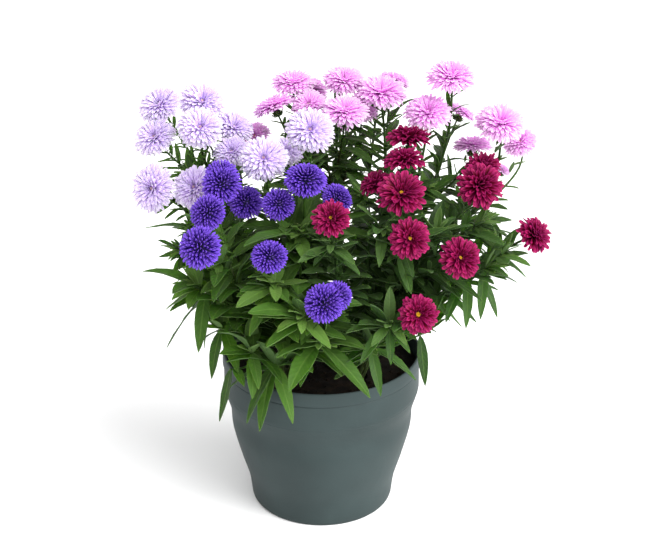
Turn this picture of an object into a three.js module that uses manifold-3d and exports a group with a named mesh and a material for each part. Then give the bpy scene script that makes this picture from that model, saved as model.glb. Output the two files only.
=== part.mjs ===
// Four asters of different colours, planted together in one round plastic pot.
// Millimetres, +Z up, origin at the centre of the pot's flat base, -Y is the front.

import * as THREE from "three";
import { mergeVertices } from "three/addons/utils/BufferGeometryUtils.js";
import Module from "manifold-3d";

const wasm = await Module();
wasm.setup();

const UP = new THREE.Vector3(0, 0, 1);
const DEGREE = Math.PI / 180;
const MERGE_DISTANCE = 1e-3;
const ROUNDINGS = [1e-3, 1e-4];
const SMALLEST_VOLUME = 1e-6;

// Pot: outer wall from the foot to the rim, as [radius, height]
const POT_OUTLINE = [
  [68.5, 0],
  [70, 4],
  [72.8, 25],
  [80, 50],
  [87.5, 80],
  [89, 100],
  [92.8, 114],
  [95, 122],
  [94.5, 146],
  [96, 148],
  [95.5, 160],
];
const POT_SIDES = 24;
const POT_COLOUR = 0x5e6b6b;
const POT_WALL = 2.6;
const POT_FLOOR = 3;
const POT_INNER_HEIGHTS = [122, 100, 80, 25];
const DRAIN_HOLES = 5;
const DRAIN_RADIUS = 4.5;
const DRAIN_CIRCLE = 42;
const DRAIN_SIDES = 8;

// Soil: its top lies below the rim and is a little uneven
const SEAT_GAP = 0.4;
const SOIL_EDGE_RADIUS = 91.5;
const SOIL_EDGE_HEIGHT = 143;
const SOIL_RINGS = [
  [66, 147],
  [30, 149],
];
const SOIL_MIDDLE_HEIGHT = 149;
const SOIL_ROUGHNESS = 1.6;
const SOIL_COLOUR = 0x2a1f18;

// Crown: the woody knob that each plant's stems grow from, in its hole in the soil
const CROWN_RADIUS = 7.8;
const CROWN_HOLE_RADIUS = 8.8;
const CROWN_BOTTOM = 120;
const CROWN_TOP = 153;
const CROWN_SIDES = 6;
const CROWN_CIRCLE = 5.2;
const STEM_START = 150;

// Bloom heads: rings from the base up, each [tip radius, tip height, notch radius, notch height],
// in parts of the bloom's radius. A ring with alike tip and notch lies between two layers of petals.
const HEADS = {
  rays: {
    petals: 9,
    height: 0.66,
    rings: [
      [1, 0.12, 0.68, 0.18],
      [0.58, 0.32, 0.58, 0.32],
      [0.82, 0.56, 0.5, 0.52],
    ],
    top: 0.46,
  },
  ball: {
    petals: 8,
    height: 1.3,
    rings: [
      [0.78, 0.06, 0.52, 0.16],
      [0.62, 0.32, 0.62, 0.32],
      [1, 0.56, 0.76, 0.6],
      [0.72, 0.84, 0.72, 0.84],
      [0.8, 1.18, 0.5, 1.16],
    ],
    top: 1.28,
  },
  dome: {
    petals: 8,
    height: 0.92,
    rings: [
      [1, 0.2, 0.76, 0.24],
      [0.68, 0.4, 0.68, 0.4],
      [0.88, 0.6, 0.6, 0.6],
      [0.44, 0.86, 0.4, 0.84],
    ],
    top: 0.7,
  },
};
const BLOOM_GAP = 0.3;
const PETAL_UNEVENNESS = 0.07;

// Green cup under each bloom: its radius, and how far below the bloom its neck and widest ring lie
const CUP_RADIUS = 4.4;
const CUP_STATIONS = [11, 4];

// Leaves: stations along the midrib by length, and how far a blade keeps from other pieces
const TURN_PER_LEAF = 137.5 * DEGREE;
const TURN_PER_STEM = 1.3;
const LEAF_THICKNESS = 1.4;
const LEAF_STATIONS = {
  short: [0, 0.45, 1],
  medium: [0, 0.32, 0.7, 1],
  long: [0, 0.22, 0.5, 0.78, 1],
};
const SHORT_LEAF = 42;
const LONG_LEAF = 82;
const LEAF_FULLNESS = 0.75;
const LEAF_GAP = 0.4;
const BLOOM_SHELTER = 2;
const RIM_CLEARANCE = 4;
const RIM_ZONE_RADIUS = 80;
const HANG_RADIUS = 100;
const HANG_HEIGHT = 196;
const HANG_SLOPE = 0.6;
const LEAF_REACH_RADIUS = 190;
const TEST_STATIONS = [0.3, 0.5, 0.75, 1];
const OTHER_TURNS = [0, 18, -18, 36, -36, 54, -54];

// A leaf's lift from its stem's side, in degrees: at the foot, gained up to the top, and drawn
const LIFT = { foot: 12, gain: 34, draw: 14 };
const SIZE_DRAW = 0.3;
const SPACING = { foot: 0.65, gain: 0.8 };
const BARE_FOOT = { leader: 34, side: 12 };
const BARE_NECK = 9;
const TIP_LEAVES = { highest: 0.97, step: 0.05 };

// Plants. A bloom is [centre x, y, z, diameter, facing azimuth, facing elevation], and the first
// `leaders` blooms of a plant end its main stems. A shoot without a bloom is { at, tips }: its end,
// and the tips of the large leaves that it carries. A lobe is a second, smaller head grown
// together with a bloom: [the bloom's number, centre x, y, z, diameter].
const PLANTS = {
  lavender: {
    crown: [-35, 35],
    head: "rays",
    colour: 0xd9c8f2,
    green: 0x3c5a30,
    leaders: 6,
    leaf: { low: 50, high: 16, slim: 0.1, spacing: 64, sag: 0.18 },
    blooms: [
      [-154, 70, 384, 43, -125, 56],
      [-155, -18, 332, 45, -125, 22],
      [-112, 30, 375, 43, -80, 50],
      [-10, 5, 381, 46, -90, 48],
      [-52, -15, 361, 45, -95, 50],
      [-59, 130, 307, 40, 100, 40],
      [-114, 90, 381, 46, -70, 58],
      [-157, 40, 362, 41, -125, 54],
      [-83, 75, 360, 40, -50, 60],
      [-84, 35, 349, 36, -110, 60],
      [-118, 0, 327, 43, -120, 40],
      [-32, 45, 346, 32, -60, 60],
      [-120, 105, 345, 36, 130, 40],
    ],
    shoots: [
      { at: [-128, 62, 262], tips: [[-172, 60, 262], [-150, 96, 246], [-140, 40, 236]] },
      { at: [-70, 118, 226], tips: [[-84, 158, 214], [-44, 150, 226]] },
      { at: [-112, 96, 196], tips: [[-150, 118, 176], [-120, 132, 172]] },
      { at: [-134, 4, 262], tips: [[-152, -8, 276], [-154, 8, 252], [-138, -22, 250]] },
      { at: [-128, 42, 326], tips: [[-150, 34, 322], [-112, 24, 330], [-136, 62, 334]] },
      { at: [-52, 2, 318], tips: [[-72, -8, 322], [-34, -12, 328]] },
    ],
  },
  pink: {
    crown: [35, 35],
    head: "rays",
    colour: 0xf2b4ee,
    green: 0x36522c,
    leaders: 7,
    leaf: { low: 60, high: 20, slim: 0.1, spacing: 80, sag: 0.2 },
    blooms: [
      [-27, 113, 393, 43, -90, 86],
      [22, 100, 399, 41, -90, 74],
      [57, 80, 394, 50, -90, 80],
      [100, 50, 383, 45, -95, 68],
      [122, 60, 415, 48, -90, 78],
      [168, 41, 376, 48, -80, 70],
      [58, 150, 366, 38, 80, 40],
      [-46, 92, 376, 43, 150, 62],
      [-10, 145, 374, 35, 80, 30],
      [22, 55, 383, 47, -90, 80],
      [-66, 110, 338, 32, -120, 50],
      [136, 95, 368, 31, 30, 60],
      [145, 65, 345, 38, 90, 78],
      [191, 72, 345, 35, -120, 62],
      [178, 84, 312, 17, 0, 60],
      [40, 95, 372, 33, -60, 60],
      [-12, 75, 382, 34, -120, 60],
      [72, 120, 392, 33, 60, 60],
      [24, 155, 342, 36, 95, 30],
    ],
    shoots: [
      { at: [120, 92, 236], tips: [[156, 108, 222], [132, 134, 226], [160, 78, 216]] },
      { at: [52, 128, 214], tips: [[70, 168, 200]] },
      { at: [156, 52, 262], tips: [[190, 66, 250], [178, 30, 236]] },
      { at: [4, 126, 252], tips: [[-20, 160, 240]] },
      { at: [112, 62, 188], tips: [[148, 78, 160], [140, 46, 158], [122, 100, 168]] },
      { at: [40, 22, 310], tips: [[12, 0, 298], [62, -4, 294], [24, 48, 322]] },
      { at: [98, 24, 316], tips: [[126, 0, 306], [84, -6, 298], [130, 40, 322]] },
    ],
  },
  violet: {
    crown: [-35, -35],
    head: "ball",
    colour: 0x4a3fc0,
    green: 0x4f7a3a,
    leaders: 5,
    leaf: { low: 74, high: 32, slim: 0.14, spacing: 58, sag: 0.32 },
    blooms: [
      [-105, -100, 309, 39, -110, 30],
      [-89, -37, 343, 37, -100, 50],
      [-14, -45, 350, 39, -80, 72],
      [2, -125, 267, 36, -100, 35],
      [-45, -100, 300, 33, -90, 58],
      [-100, -65, 327, 34, -120, 35],
      [-69, -20, 319, 33, -80, 45],
      [-38, -50, 329, 31, -90, 45],
      [14, -35, 328, 31, -40, 45],
    ],
    lobes: [[4, 13, -119, 271, 28], [2, -90, -27, 348, 31]],
    shoots: [
      {
        at: [-44, -88, 186],
        tips: [
          [-68, -108, 138],
          [-58, -112, 132],
          [-27, -116, 142],
          [-82, -96, 159],
          [-19, -120, 216],
          [-86, -92, 194],
          [-8, -118, 196],
        ],
      },
      { at: [-94, -52, 206], tips: [[-103, -66, 161], [-76, -86, 178], [-112, -40, 190]] },
      { at: [-84, -78, 178], tips: [[-91, -88, 127], [-70, -100, 172]] },
      {
        at: [-114, -54, 250],
        tips: [
          [-163, -46, 263],
          [-135, -36, 245],
          [-112, -80, 196],
          [-145, -50, 186],
          [-110, -48, 184],
        ],
      },
      {
        at: [0, -105, 218],
        tips: [
          [42, -132, 177],
          [24, -122, 193],
          [-53, -122, 192],
          [-19, -128, 187],
        ],
      },
      { at: [-17, -116, 250], tips: [[-63, -130, 262], [35, -122, 257], [3, -134, 230]] },
      { at: [-41, -95, 273], tips: [[-71, -106, 270], [-19, -114, 264], [-63, -120, 233]] },
      { at: [-20, -58, 306], tips: [[-52, -112, 310], [4, -62, 316]] },
      {
        at: [-64, -84, 198],
        tips: [
          [-84, -106, 176],
          [-62, -116, 168],
          [-44, -112, 178],
          [-92, -90, 200],
        ],
      },
    ],
  },
  crimson: {
    crown: [35, -35],
    head: "dome",
    colour: 0xa0185c,
    green: 0x44603a,
    leaders: 6,
    leaf: { low: 66, high: 30, slim: 0.11, spacing: 76, sag: 0.22 },
    blooms: [
      [82, 34, 364, 40, 90, 78],
      [85, -110, 249, 35, -90, 30],
      [8, -85, 331, 33, -95, 45],
      [71, -55, 343, 43, -95, 56],
      [145, -15, 334, 42, -85, 40],
      [196, -30, 291, 35, -45, 36],
      [124, -75, 288, 37, -75, 35],
      [78, -85, 311, 37, -80, 35],
      [75, -14, 359, 37, 90, 78],
      [49, -15, 337, 31, 180, 65],
      [152, 27, 337, 34, -85, 70],
    ],
    shoots: [
      { at: [44, -88, 206], tips: [[53, -114, 169], [86, -102, 180], [21, -114, 204]] },
      {
        at: [61, -98, 234],
        tips: [
          [61, -122, 205],
          [78, -118, 215],
          [34, -122, 208],
          [43, -104, 256],
        ],
      },
      { at: [92, -64, 206], tips: [[95, -84, 163], [107, -48, 208]] },
      { at: [8, -76, 304], tips: [[-7, -96, 290], [33, -104, 283]] },
      { at: [56, -56, 310], tips: [[53, -76, 286], [34, -64, 320], [81, -50, 318]] },
      {
        at: [150, -56, 270],
        tips: [
          [144, -74, 226],
          [161, -62, 222],
          [179, -60, 252],
          [132, -72, 216],
          [112, -80, 226],
        ],
      },
      { at: [167, -40, 278], tips: [[160, -38, 298], [191, -46, 260]] },
      { at: [146, -22, 300], tips: [[172, -28, 284], [153, -38, 282], [132, -40, 296]] },
      { at: [118, -6, 232], tips: [[156, -10, 214], [140, 22, 222], [146, -34, 204]] },
      { at: [106, -34, 296], tips: [[136, -46, 306], [92, -50, 280], [112, -12, 318]] },
    ],
  },
};

// Stems: radii at the foot and the top, and the sides of each kind
const LEADER = { low: 2.4, high: 1.3, sides: 4 };
const BRANCH = { low: 1.5, high: 1.1, sides: 3 };
const SHOOT = { low: 1.9, high: 1.1, sides: 3 };
const STEM_PIECE = 62;
const STEM_ROOT = 0.01;
const LEADER_LEAN = 0.35;
const FORK_LEAN = 1.5;
const SHOOT_RISE = 0.6;
const BRANCH_STARTS = [0.5, 0.62, 0.44, 0.56];
const SHOOT_STARTS = [0.12, 0.2, 0.16, 0.26];
const MOST_OF_THE_WAY = 0.7;
const CURVE_HANDLES = [0.4, 0.3];
const STEM_SAMPLES = 24;
const STEM_ROOM = 5;
const BLOOM_ROOM = 4.5;
const FORK_ROOM = 22;

// How far a stem may bow aside and inwards, the smallest bows first
const BOW_ASIDE = [0, 12, -12, 24, -24, 36, -36];
const BOW_INWARDS = [0, 12, -12, 24, -24];
const BOWS = BOW_ASIDE.flatMap((aside) => BOW_INWARDS.map((inwards) => [aside, inwards]));
BOWS.sort((a, b) => Math.hypot(...a) - Math.hypot(...b));

// Steps between the draws of plants, blooms and stems
const PLANT_SEED = 1000;
const BLOOM_SEED = 100;
const STEM_SEED = 50;

// A repeatable draw between 0 and 1
function noise(n) {
  const wave = Math.sin(n * 12.9898) * 43758.5453;
  return wave - Math.floor(wave);
}

function vector(values) {
  return new THREE.Vector3(...values);
}

function directionOf(azimuth, elevation) {
  const a = azimuth * DEGREE;
  const e = elevation * DEGREE;
  return new THREE.Vector3(Math.cos(e) * Math.cos(a), Math.cos(e) * Math.sin(a), Math.sin(e));
}

// Solids from geometries, and back

function solidOf(geometry) {
  const bare = geometry.clone();
  bare.deleteAttribute("normal");
  bare.deleteAttribute("uv");
  const merged = mergeVertices(bare, MERGE_DISTANCE);
  return new wasm.Manifold(
    new wasm.Mesh({
      numProp: 3,
      vertProperties: merged.attributes.position.array,
      triVerts: new Uint32Array(merged.index.array),
    }),
  );
}

function geometryOf(solid) {
  const mesh = solid.getMesh();
  const geometry = new THREE.BufferGeometry();
  geometry.setAttribute("position", new THREE.BufferAttribute(new Float32Array(mesh.vertProperties), 3));
  geometry.setIndex(new THREE.BufferAttribute(new Uint32Array(mesh.triVerts), 1));
  geometry.computeVertexNormals();
  return geometry;
}

// The largest body of a solid, which leaves out sealed hollows and loose scraps
function mainBody(solid) {
  const largest = (bodies) => bodies.reduce((a, b) => (b.volume() > a.volume() ? b : a));
  const merged = solidOf(geometryOf(largest(solid.decompose())));
  return largest(merged.decompose());
}

// True where the solid stays closed once vertices that nearly meet are taken as one
function staysClosed(solid) {
  const { vertProperties, triVerts } = solid.getMesh();
  return ROUNDINGS.every((step) => {
    const keys = [];
    for (let i = 0; i < vertProperties.length; i += 3) {
      keys.push([0, 1, 2].map((k) => Math.round(vertProperties[i + k] / step)).join(" "));
    }
    const edges = new Map();
    for (let i = 0; i < triVerts.length; i += 3) {
      const corners = [0, 1, 2].map((k) => keys[triVerts[i + k]]);
      if (new Set(corners).size < 3) continue;
      corners.forEach((corner, k) => {
        const edge = `${corner}>${corners[(k + 1) % 3]}`;
        edges.set(edge, (edges.get(edge) ?? 0) + 1);
      });
    }
    return [...edges].every(([edge, count]) => {
      const [from, to] = edge.split(">");
      return count === 1 && edges.get(`${to}>${from}`) === 1;
    });
  });
}

function nodeMesh(name, geometry, colour, roughness) {
  const material = new THREE.MeshStandardMaterial({ color: colour, roughness, metalness: 0 });
  const mesh = new THREE.Mesh(geometry, material);
  mesh.name = name;
  return mesh;
}

// Pot and soil

function turned(outline, sides) {
  const points = outline.map(([radius, height]) => new THREE.Vector2(radius, height));
  return new THREE.LatheGeometry(points, sides).rotateX(90 * DEGREE);
}

function innerWall(gap) {
  const radiusAt = new Map(POT_OUTLINE.map(([radius, height]) => [height, radius]));
  return POT_INNER_HEIGHTS.map((height) => [radiusAt.get(height) - POT_WALL - gap, height]);
}

function potSolid() {
  const [rimRadius, rimHeight] = POT_OUTLINE.at(-1);
  const footRadius = POT_OUTLINE[1][0] - POT_WALL;
  const outline = [
    [0, 0],
    ...POT_OUTLINE,
    [rimRadius - POT_WALL, rimHeight],
    ...innerWall(0),
    [footRadius, POT_FLOOR],
    [0, POT_FLOOR],
  ];
  let pot = solidOf(turned(outline, POT_SIDES));
  for (let i = 0; i < DRAIN_HOLES; i++) {
    const angle = (i / DRAIN_HOLES) * 2 * Math.PI;
    const hole = new THREE.CylinderGeometry(DRAIN_RADIUS, DRAIN_RADIUS, 4 * POT_FLOOR, DRAIN_SIDES)
      .rotateX(90 * DEGREE)
      .translate(DRAIN_CIRCLE * Math.cos(angle), DRAIN_CIRCLE * Math.sin(angle), 0);
    pot = pot.subtract(solidOf(hole));
  }
  return pot;
}

function soilSolid() {
  const wall = innerWall(SEAT_GAP).reverse();
  const footRadius = POT_OUTLINE[1][0] - POT_WALL - SEAT_GAP;
  const outline = [
    [0, POT_FLOOR + SEAT_GAP],
    [footRadius, POT_FLOOR + SEAT_GAP],
    ...wall,
    [SOIL_EDGE_RADIUS, SOIL_EDGE_HEIGHT],
    ...SOIL_RINGS,
    [0, SOIL_MIDDLE_HEIGHT],
  ];
  const geometry = turned(outline, POT_SIDES);
  const firstRing = outline.length - 1 - SOIL_RINGS.length;
  const place = geometry.attributes.position;
  for (let i = 0; i < place.count; i++) {
    const side = Math.floor(i / outline.length) % POT_SIDES;
    const ring = i % outline.length;
    if (ring >= firstRing && ring < outline.length - 1) {
      const rise = (noise(side + ring * POT_SIDES) - 0.5) * 2 * SOIL_ROUGHNESS;
      place.setZ(i, place.getZ(i) + rise);
    }
  }
  let soil = solidOf(geometry);
  const depth = CROWN_TOP - CROWN_BOTTOM + SEAT_GAP;
  for (const { crown } of Object.values(PLANTS)) {
    const hole = new THREE.CylinderGeometry(CROWN_HOLE_RADIUS, CROWN_HOLE_RADIUS, depth, CROWN_SIDES)
      .rotateX(90 * DEGREE)
      .translate(crown[0], crown[1], CROWN_TOP - depth / 2);
    soil = soil.subtract(solidOf(hole));
  }
  return soil;
}

// Blooms

function bloomOf(plant, name, row, seed) {
  const [x, y, z, diameter, azimuth, elevation] = row;
  const head = HEADS[plant.head];
  const radius = diameter / 2;
  const facing = directionOf(azimuth, elevation);
  const height = head.height * radius;
  const base = new THREE.Vector3(x, y, z).addScaledVector(facing, -height / 2);
  return { name, head, radius, facing, height, base, seed };
}

// A turned body whose rings are drawn out into petal tips and drawn in between them
function headGeometry({ head, radius, seed }) {
  const outline = [
    [0, BLOOM_GAP / radius],
    ...head.rings.map(([tip, height]) => [tip, height]),
    [0, head.top],
  ].map(([r, h]) => [r * radius, h * radius]);
  const sides = 2 * head.petals;
  const geometry = turned(outline, sides);
  const place = geometry.attributes.position;
  for (let i = 0; i < place.count; i++) {
    const side = Math.floor(i / outline.length) % sides;
    const ring = (i % outline.length) - 1;
    if (ring < 0 || ring >= head.rings.length) continue;
    const [tip, tipHeight, notch, notchHeight] = head.rings[ring];
    const layer = Math.floor(ring / 2);
    const isTip = (side + layer) % 2 === 0;
    const uneven = 1 + (noise((seed + ring) * sides + side) - 0.5) * 2 * PETAL_UNEVENNESS;
    const reach = (isTip ? tip * uneven : notch) / tip;
    place.setXYZ(
      i,
      place.getX(i) * reach,
      place.getY(i) * reach,
      (isTip ? tipHeight : notchHeight) * radius,
    );
  }
  return geometry;
}

// A second head fused to a bloom's side, in the bloom's own frame
function withLobe(geometry, bloom, [, x, y, z, diameter]) {
  const radius = diameter / 2;
  const centre = new THREE.Vector3(x, y, z).sub(bloom.base);
  centre.applyQuaternion(new THREE.Quaternion().setFromUnitVectors(bloom.facing, UP));
  const lobe = headGeometry({ ...bloom, radius, seed: bloom.seed + 1 });
  lobe.translate(centre.x, centre.y, centre.z - (bloom.head.height * radius) / 2);
  return geometryOf(mainBody(solidOf(geometry).add(solidOf(lobe))));
}

function bloomMesh(bloom, colour, lobe) {
  const head = headGeometry(bloom);
  const mesh = nodeMesh(bloom.name, lobe ? withLobe(head, bloom, lobe) : head, colour, 0.75);
  mesh.position.copy(bloom.base);
  mesh.quaternion.setFromUnitVectors(UP, bloom.facing);
  return mesh;
}

// True where a point lies in the space that a bloom takes up, with a margin round it
function insideBloom(point, bloom, margin) {
  const offset = point.clone().sub(bloom.base);
  const along = offset.dot(bloom.facing);
  const across = offset.addScaledVector(bloom.facing, -along).length();
  return along > -margin && along < bloom.height + margin && across < bloom.radius + margin;
}

// Stems

function nearest(points, others) {
  let least = Infinity;
  for (const p of points) for (const q of others) least = Math.min(least, p.distanceTo(q));
  return least;
}

// A stem from start to end that leaves along `away` and arrives along `facing`. It bows to a side
// or inwards as far as it must to pass the other stems and all blooms.
function routeStem(start, away, end, facing, neighbours, blooms) {
  const span = start.distanceTo(end);
  const straight = end.clone().sub(start).normalize();
  const side = new THREE.Vector3().crossVectors(straight, UP).normalize();
  const inward = new THREE.Vector3().crossVectors(side, straight);
  let best = null;
  for (const [aside, inwards] of BOWS) {
    const bow = side.clone().multiplyScalar(aside).addScaledVector(inward, inwards);
    const curve = new THREE.CubicBezierCurve3(
      start,
      start.clone().addScaledVector(away, CURVE_HANDLES[0] * span).add(bow),
      end.clone().addScaledVector(facing, -CURVE_HANDLES[1] * span).add(bow),
      end,
    );
    const points = curve.getPoints(STEM_SAMPLES);
    const isBlocked = (point) => blooms.some((bloom) => insideBloom(point, bloom, BLOOM_ROOM));
    const blocked = points.slice(0, -2).filter(isBlocked).length;
    const room = Math.min(nearest(points, neighbours), STEM_ROOM) - STEM_ROOM * blocked;
    if (!best || room > best.room) best = { curve, room, points };
    if (room >= STEM_ROOM) break;
  }
  return best;
}

// A turned rod whose rings are carried along the stem's axis. It thins upwards, and under a
// bloom it swells into the green cup.
function stemGeometry({ curve, axis, kind, flowering }) {
  const length = axis.getLength();
  const radiusAt = (u) => THREE.MathUtils.lerp(kind.low, kind.high, u);
  const pieces = axis.curves.length;
  const outline = [[0, 0], [kind.low, STEM_ROOT]];
  for (let k = 1; k < pieces; k++) outline.push([radiusAt(k / pieces), k / pieces]);
  if (flowering) {
    const [neck, widest] = CUP_STATIONS.map((below) => 1 - below / length);
    outline.push([kind.high, neck], [CUP_RADIUS, widest]);
  }
  outline.push([0, 1]);
  const geometry = turned(outline, kind.sides);
  const place = geometry.attributes.position;
  const turn = new THREE.Quaternion();
  for (let i = 0; i < place.count; i++) {
    const u = place.getZ(i);
    const point = new THREE.Vector3(place.getX(i), place.getY(i), 0);
    turn.setFromUnitVectors(UP, curve.getTangentAt(u));
    point.applyQuaternion(turn).add(axis.getPointAt(u));
    place.setXYZ(i, point.x, point.y, point.z);
  }
  return geometry;
}

// The straight pieces that stand for a stem's curve
function axisOf(curve) {
  const pieces = Math.max(2, Math.round(curve.getLength() / STEM_PIECE));
  const axis = new THREE.CurvePath();
  for (let k = 0; k < pieces; k++) {
    axis.add(new THREE.LineCurve3(curve.getPointAt(k / pieces), curve.getPointAt((k + 1) / pieces)));
  }
  return axis;
}

// Leaves

// A three-sided ball drawn out into a blade: its poles are the root and the tip, and each ring
// between them has two edges and the midrib, which stands out below.
function leafGeometry(leaf, margin) {
  const { reach, halfWidth } = leaf;
  const length = reach.length();
  let stations = LEAF_STATIONS.medium;
  if (length < SHORT_LEAF) stations = LEAF_STATIONS.short;
  if (length > LONG_LEAF) stations = LEAF_STATIONS.long;
  const ahead = reach.clone().normalize();
  const above = UP.clone().addScaledVector(ahead, -ahead.z).normalize();
  const across = new THREE.Vector3().crossVectors(ahead, above);
  const geometry = new THREE.SphereGeometry(1, 3, stations.length - 1);
  const place = geometry.attributes.position;
  for (let i = 0; i < place.count; i++) {
    const corner = (i % 4) % 3;
    const s = stations[Math.floor(i / 4)];
    const share = Math.pow(Math.max(Math.sin(Math.PI * s), 0), LEAF_FULLNESS);
    const aside = [1, -1, 0][corner] * (halfWidth + margin);
    const upwards = corner === 2 ? -LEAF_THICKNESS - margin : margin;
    const point = leafPoint(leaf, s);
    point.addScaledVector(across, share * aside).addScaledVector(above, share * upwards);
    place.setXYZ(i, point.x, point.y, point.z);
  }
  return geometry;
}

function leafPoint({ root, reach, sag }, s) {
  return root.clone().addScaledVector(reach, s).addScaledVector(UP, -sag * s * s);
}

// True where the leaf keeps clear of the blooms, the pot's rim and the soil, and neither reaches
// past the bush nor hangs out low beside the pot, where only the large leaves at the shoots' ends do
function leafIsClear(leaf, blooms) {
  const [rimRadius, rimHeight] = POT_OUTLINE.at(-1);
  return TEST_STATIONS.every((s) => {
    const point = leafPoint(leaf, s);
    const radius = Math.hypot(point.x, point.y);
    const inSoil = radius < rimRadius && point.z < SOIL_MIDDLE_HEIGHT + RIM_CLEARANCE;
    const overRim = radius > RIM_ZONE_RADIUS && radius < rimRadius + RIM_CLEARANCE;
    const inRim = overRim && point.z < rimHeight + RIM_CLEARANCE;
    const lowest = HANG_HEIGHT + HANG_SLOPE * (radius - HANG_RADIUS);
    const hangsOut = radius > HANG_RADIUS && point.z < lowest;
    if (inSoil || inRim || hangsOut || radius > LEAF_REACH_RADIUS) return false;
    return !blooms.some((bloom) => insideBloom(point, bloom, BLOOM_SHELTER));
  });
}

// The leaf at one place on a stem, turned a step further round than the one before
function leafOnStem({ curve, axis }, u, turn, habit, size, seed) {
  const root = axis.getPointAt(u);
  const along = curve.getTangentAt(u);
  const flat = new THREE.Vector3(Math.cos(turn), Math.sin(turn), 0);
  const outward = flat.addScaledVector(along, -flat.dot(along)).normalize();
  const length = size * (1 + SIZE_DRAW * (noise(seed) - 0.5));
  const lift = (LIFT.foot + LIFT.gain * u + LIFT.draw * noise(seed + 1)) * DEGREE;
  const reach = outward.multiplyScalar(Math.cos(lift)).addScaledVector(along, Math.sin(lift));
  reach.multiplyScalar(length);
  return { root, reach, sag: habit.sag * length, halfWidth: habit.slim * length };
}

function leafTo(root, tip, slim, sagShare) {
  const sag = sagShare * root.distanceTo(tip);
  const reach = tip.clone().sub(root).addScaledVector(UP, sag);
  return { root, reach, sag, halfWidth: slim * reach.length() };
}

// Growth of one plant: its stems first, then its leaves

// The leader that passes nearest to a point, seen from most of the way up
function nearestLeader(leaders, end) {
  const gap = (stem) => stem.curve.getPoint(MOST_OF_THE_WAY).distanceTo(end);
  return leaders.reduce((best, stem) => (gap(stem) < gap(best) ? stem : best));
}

// A side stem leaves between its leader's own direction and the straight way to its end
function forkDirection(leader, from, start, end) {
  const straight = end.clone().sub(start).normalize();
  return leader.curve.getTangentAt(from).addScaledVector(straight, FORK_LEAN).normalize();
}

// Where each leader leaves the crown: all round its top, in the order in which they fan out
function leaderStarts(plant, blooms, crown) {
  const heading = (p) => Math.atan2(p.y - crown.y, p.x - crown.x);
  const ends = blooms.slice(0, plant.leaders).map((bloom) => bloom.base);
  const middle = ends.reduce((sum, end) => sum.add(end), new THREE.Vector3()).divideScalar(ends.length);
  const offset = (end) => {
    const turn = heading(end) - heading(middle);
    return Math.atan2(Math.sin(turn), Math.cos(turn));
  };
  const order = ends.map((_, i) => i).sort((a, b) => offset(ends[a]) - offset(ends[b]));
  return ends.map((_, i) => {
    const rank = order.indexOf(i) - (ends.length - 1) / 2;
    const angle = heading(middle) + (rank / ends.length) * 2 * Math.PI;
    return new THREE.Vector3(Math.cos(angle), Math.sin(angle), 0);
  });
}

function growStems(plant, blooms, allBlooms, strangers) {
  const crown = new THREE.Vector3(plant.crown[0], plant.crown[1], STEM_START);
  const stems = [];
  const sides = leaderStarts(plant, blooms, crown);
  const leaders = () => stems.filter((stem) => stem.kind === LEADER);
  const add = (start, away, end, facing, others, rest) => {
    const siblings = stems.flatMap((stem) => stem.points).filter((p) => p.distanceTo(start) > FORK_ROOM);
    const route = routeStem(start, away, end, facing, [...strangers, ...siblings], others);
    stems.push({ ...route, axis: axisOf(route.curve), ...rest });
  };
  blooms.forEach((bloom, i) => {
    const end = bloom.base;
    const others = allBlooms.filter((other) => other !== bloom);
    if (i < plant.leaders) {
      const lean = end.clone().sub(crown).setZ(0).normalize();
      const start = crown.clone().addScaledVector(sides[i], CROWN_CIRCLE);
      const away = UP.clone().addScaledVector(lean, LEADER_LEAN).normalize();
      add(start, away, end, bloom.facing, others, { kind: LEADER, flowering: true, tips: [] });
    } else {
      const leader = nearestLeader(leaders(), end);
      const from = BRANCH_STARTS[i % BRANCH_STARTS.length];
      const start = leader.axis.getPointAt(from);
      const away = forkDirection(leader, from, start, end);
      add(start, away, end, bloom.facing, others, { kind: BRANCH, flowering: true, tips: [] });
    }
  });
  plant.shoots.forEach((shoot, i) => {
    const end = vector(shoot.at);
    const leader = nearestLeader(leaders(), end);
    const from = SHOOT_STARTS[i % SHOOT_STARTS.length];
    const start = leader.axis.getPointAt(from);
    const lean = end.clone().sub(start).setZ(0).normalize();
    const away = forkDirection(leader, from, start, end);
    const facing = lean.clone().addScaledVector(UP, SHOOT_RISE).normalize();
    const tips = shoot.tips.map(vector);
    add(start, away, end, facing, allBlooms, { kind: SHOOT, flowering: false, tips });
  });
  return stems;
}

// The large leaves at each shoot's end come first, then those along the stems
function leavesOf({ leaf: habit }, stems, blooms, firstSeed) {
  const leaves = [];
  stems.forEach((stem, k) => {
    stem.tips.forEach((tip, i) => {
      const root = stem.axis.getPointAt(TIP_LEAVES.highest - TIP_LEAVES.step * i);
      leaves.push({ ...leafTo(root, tip, habit.slim, habit.sag), stem });
    });
    const length = stem.axis.getLength();
    const last = stem.flowering ? length - BARE_NECK : length;
    let at = stem.kind === LEADER ? BARE_FOOT.leader : BARE_FOOT.side;
    for (let i = 0; at < last; i++) {
      const u = at / length;
      const turn = k * TURN_PER_STEM + i * TURN_PER_LEAF;
      const size = THREE.MathUtils.lerp(habit.low, habit.high, stem.flowering ? u : u / 2);
      const leaf = leafOnStem(stem, u, turn, habit, size, firstSeed + k * STEM_SEED + i * 2);
      if (leafIsClear(leaf, blooms)) leaves.push({ ...leaf, stem });
      at += habit.spacing * (SPACING.foot + SPACING.gain * u);
    }
  });
  return leaves;
}

// Turns a leaf about its stem's upright, for another try at a clear place
function turnedLeaf(leaf, angle) {
  return { ...leaf, reach: leaf.reach.clone().applyAxisAngle(UP, angle * DEGREE) };
}

function boxesMeet(a, b) {
  return [0, 1, 2].every((k) => a.min[k] < b.max[k] && b.min[k] < a.max[k]);
}

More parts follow.
